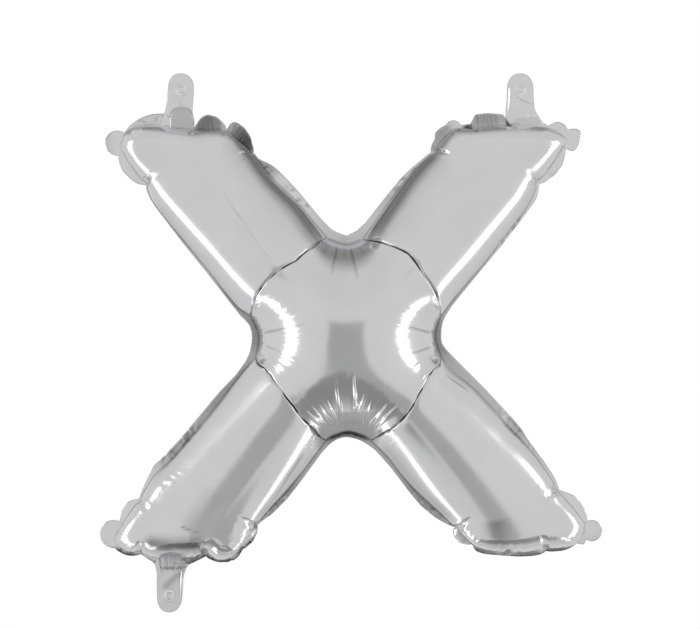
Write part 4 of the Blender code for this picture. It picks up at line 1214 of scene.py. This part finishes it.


# Metallised film: a bright metal whose polish varies in cloudy patches, with a fine grain, painted shade
# mixed into its colour by the shadow attribute, and fine pleats that run in from the weld and fade out,
# read from the piece's own seam attributes.
def foilMaterial(name, finish, pleatReach, lines):
    material = bpy.data.materials.new(name)
    tree = Tree(material)
    shader = tree.nodes["Principled BSDF"]
    place = tree.add("ShaderNodeTexCoord", out=3)
    cloud = tree.noise(place, finish["clouds"], 4.0)
    grain = tree.noise(place, finish["grain"], 3.0)
    streaks = tree.noise(place, finish["streaks"], 2.0, 0.7)
    colour = tree.mix(cloud, (*finish["dull"], 1), (*finish["bright"], 1))
    shadow = tree.attribute("shadow")
    if lines or pleatReach:
        along = tree.attribute("seamAlong")
        away = tree.attribute("seamAway")
    if lines:
        fine, long = finish["lineStretch"]
        ray = tree.add("ShaderNodeCombineXYZ", None, along * fine, away * long, 0.0)
        share, least = finish["lineContrast"]
        shadow = shadow * (tree.noise(ray, 1.0, 3.0, 0.65) * share + least)
    # Painted shade: the colour goes towards the shadow colour as far as the shadow attribute says.
    shaded = tree.mix(shadow, colour, (*finish["shadow"], 1))
    tree.join(shaded, shader.inputs["Base Color"])
    spread, streakSpread = finish["roughnessSpread"], finish["streakSpread"]
    polish = cloud * spread + streaks * streakSpread + (
        finish["roughness"] - spread / 2 - streakSpread / 2)
    tree.join(polish, shader.inputs["Roughness"])
    shader.inputs["Metallic"].default_value = 1.0
    height = grain * finish["grainHeight"]
    if pleatReach:
        fine, long = finish["crimpStretch"]
        line = tree.add("ShaderNodeCombineXYZ", None, along * fine, away * long, 0.0)
        slow = tree.add("ShaderNodeCombineXYZ", None, along * finish["crimpPatches"], 0.0, 3.0)
        fade = tree.add("ShaderNodeMath", {"operation": "EXPONENT"},
                        away * (-1.0 / pleatReach))
        height = height + (tree.noise(line, 1.0, 3.0, 0.6) * fade * tree.noise(slow, 1.0, 1.0)
                           * finish["crimpHeight"])
    bump = tree.add("ShaderNodeBump", None, Strength=1.0, Distance=1.0, Height=height)
    tree.join(bump, shader.inputs["Normal"])
    return material


studio = {
    "frameWidth": 0.56,            # metres across the picture at the letter
    "cameraDistance": 2.2,
    "viewCentre": (-0.0006, -0.180),
    "grey": 0.70,                  # what the film mirrors from the sides and front
    "overhead": 0.66,
    "below": 0.66,
    "stripPlace": (1.2, -0.18),    # right and left strip lights, x and y
    "stripHeights": ((-1.64, 0.32), (-1.50, 0.36)),   # of the left one and of the right one
    "stripWidth": 0.34,
    "stripShine": 5.2,             # watts a square metre
    "nearPlace": (0.55, -0.07),    # two small near ones for the lower corners
    "nearHeights": ((-0.20, -0.028), (-0.20, 0.016)),
    "nearWidth": 0.13,
    "lowPlace": (0.86, 0.05, -1.50),   # the two low lights that catch the pleats, right one
    "lowSize": (0.14, 0.9),
    "flagDistance": 0.40,
    "flag": ((-0.145, -0.10), (0.13, -0.10), (0.14, -0.25), (0.17, -0.56), (0.0, -0.56),
             (-0.01, -0.47), (-0.13, -0.45), (-0.19, -0.25)),
    "flagShade": 0.56,
    "lowerFlag": ((-0.72, -1.9), (0.72, -1.9), (0.76, 0.30), (-0.76, 0.30)),
    "lowerHeight": -1.53,
    "lowerFade": (0.50, -1.10),    # y where it is pale, and how far forward it darkens
    "upperFlag": ((-0.19, -0.045), (0.19, -0.045), (0.21, 0.35), (-0.21, 0.35)),
    "upperHeight": 0.06,
    "upperFade": (-0.03, 0.12),
    "backFlag": ((-0.27, -0.09), (0.27, -0.09), (0.27, 0.24), (-0.27, 0.24)),
    "backDistance": 0.15,
    "backFade": (0.20, -0.22),     # z where it is pale, and how far down it darkens
    "crossShade": 0.36,
    "paleShade": 0.85,             # where a flag is pale
    "floorHeight": -1.60,
    "floorRadius": 1.1,
    "floorShade": 0.82,
}


# Even pale surroundings, white behind the letter and darker overhead.
def buildWorld():
    world = bpy.data.worlds.new("paleStudio")
    bpy.context.scene.world = world
    tree = Tree(world)
    direction = tree.add("ShaderNodeTexCoord")
    split = tree.add("ShaderNodeSeparateXYZ", None, direction, out=2)
    shade = tree.add("ShaderNodeValToRGB", {"stops": [
        (0.0, studio["below"]), (0.5, studio["grey"]), (0.68, studio["grey"]),
        (0.9, studio["overhead"])]}, split * 0.5 + 0.5)
    path = tree.add("ShaderNodeLightPath", out=0)
    tree.join(tree.mix(path, shade, grey(1.0)), tree.nodes["Background"].inputs["Color"])


# A rectangular lamp at a place that shines towards a target.
def aimedLight(name, place, target, size, power):
    light = bpy.data.lights.new(name, "AREA")
    light.shape = "RECTANGLE"
    light.size, light.size_y = size
    light.energy = power
    lamp = newObject(name, light)
    lamp.location = place
    lamp.rotation_euler = (Vector(target) - Vector(place)).to_track_quat("-Z", "Y").to_euler()
    return lamp


# A flat card of one soft shade; fade gives an axis, where on it the card is pale, and over how far
# it darkens.
def plainCard(name, corners, shade, fade=None):
    mesh = bpy.data.meshes.new(name)
    mesh.from_pydata(corners, [], [tuple(range(len(corners)))])
    card = newObject(name, mesh)
    material = bpy.data.materials.new(name)
    tree = Tree(material)
    shader = tree.nodes["Principled BSDF"]
    place = tree.add("ShaderNodeTexCoord", out=3)
    tone = tree.mix(tree.noise(place, 6.0, 3.0), grey(shade * 0.97), grey(shade))
    if fade:
        axis, start, reach = fade
        depth = tree.add("ShaderNodeSeparateXYZ", None, place, out=axis)
        share = tree.add("ShaderNodeMapRange", {"interpolation_type": "SMOOTHSTEP"},
                         depth, start, start + reach, 0.0, 1.0)
        tone = tree.mix(share, grey(studio["paleShade"]), tone)
    tree.join(tone, shader.inputs["Base Color"])
    shader.inputs["Roughness"].default_value = 0.9
    mesh.materials.append(material)
    return card


# Everything round the letter: the world, the lamps in pairs, the floor, the flags and the camera.
def buildStudio():
    buildWorld()
    for kind in ("strip", "near"):
        x, y = studio[kind + "Place"]
        width = studio[kind + "Width"]
        for side, (low, high) in zip((-1, 1), studio[kind + "Heights"]):
            aimedLight(f"{kind}Light{side}", (side * x, y, (low + high) / 2),
                       (0, 0, (low + high) / 2), (width, high - low),
                       studio["stripShine"] * width * (high - low))
    x, y, z = studio["lowPlace"]
    width, length = studio["lowSize"]
    for name, side in (("leftLow", -1), ("rightLow", 1)):
        low = aimedLight(name, (side * x, y, z), (side * x, y, 0), (width, length),
                         studio["stripShine"] * width * length)
        low.rotation_euler = (np.pi, 0, 0)
    turn = np.linspace(0, 2 * np.pi, 64, endpoint=False)
    radius = studio["floorRadius"]
    plainCard("floor", [(radius * np.cos(a), radius * np.sin(a), studio["floorHeight"])
                        for a in turn], studio["floorShade"])
    flags = [
        plainCard("flag", [(x, -studio["flagDistance"], z) for x, z in studio["flag"]],
                  studio["flagShade"]),
        plainCard("backFlag", [(x, studio["backDistance"], z) for x, z in studio["backFlag"]],
                  studio["crossShade"], (2, *studio["backFade"])),
    ]
    for kind in ("lower", "upper"):
        corners = [(x, y, studio[kind + "Height"]) for x, y in studio[kind + "Flag"]]
        flags.append(plainCard(kind + "Flag", corners, studio["crossShade"],
                               (1, *studio[kind + "Fade"])))
    for card in flags:
        card.visible_camera = False
        card.visible_shadow = False
        card.visible_diffuse = False
    camera = bpy.data.cameras.new("camera")
    camera.lens = 36 * studio["cameraDistance"] / studio["frameWidth"]
    eye = newObject("camera", camera)
    eye.location = (studio["viewCentre"][0], -studio["cameraDistance"], studio["viewCentre"][1])
    eye.rotation_euler = (np.pi / 2, 0, 0)
    bpy.context.scene.camera = eye
    bpy.context.scene.view_settings.view_transform = "Standard"


print("surfaces")
silver = foilMaterial("silverFilm", filmFinish, 3.0, False)
marginFilm = foilMaterial("weldedFilm", marginFinish, 0, True)
tabFilm = foilMaterial("tabFilm", tabFinish, 0, False)
seamLine = closedSeam()
buildFoil("front_foil", -1, 11, silver, seamLine)
buildFoil("back_foil", 1, 23, silver, seamLine)
print("margin")
buildMargin(seamLine, marginFilm)
print("tabs and discs")
for number, tabName in enumerate(tabs):
    buildTab(tabName, 40 + number, tabFilm)
    buildDisc(tabName.replace("tab", "hole_disc"), tabName, 0.03 - 0.02 * number, tabFilm)
print("studio")
buildStudio()
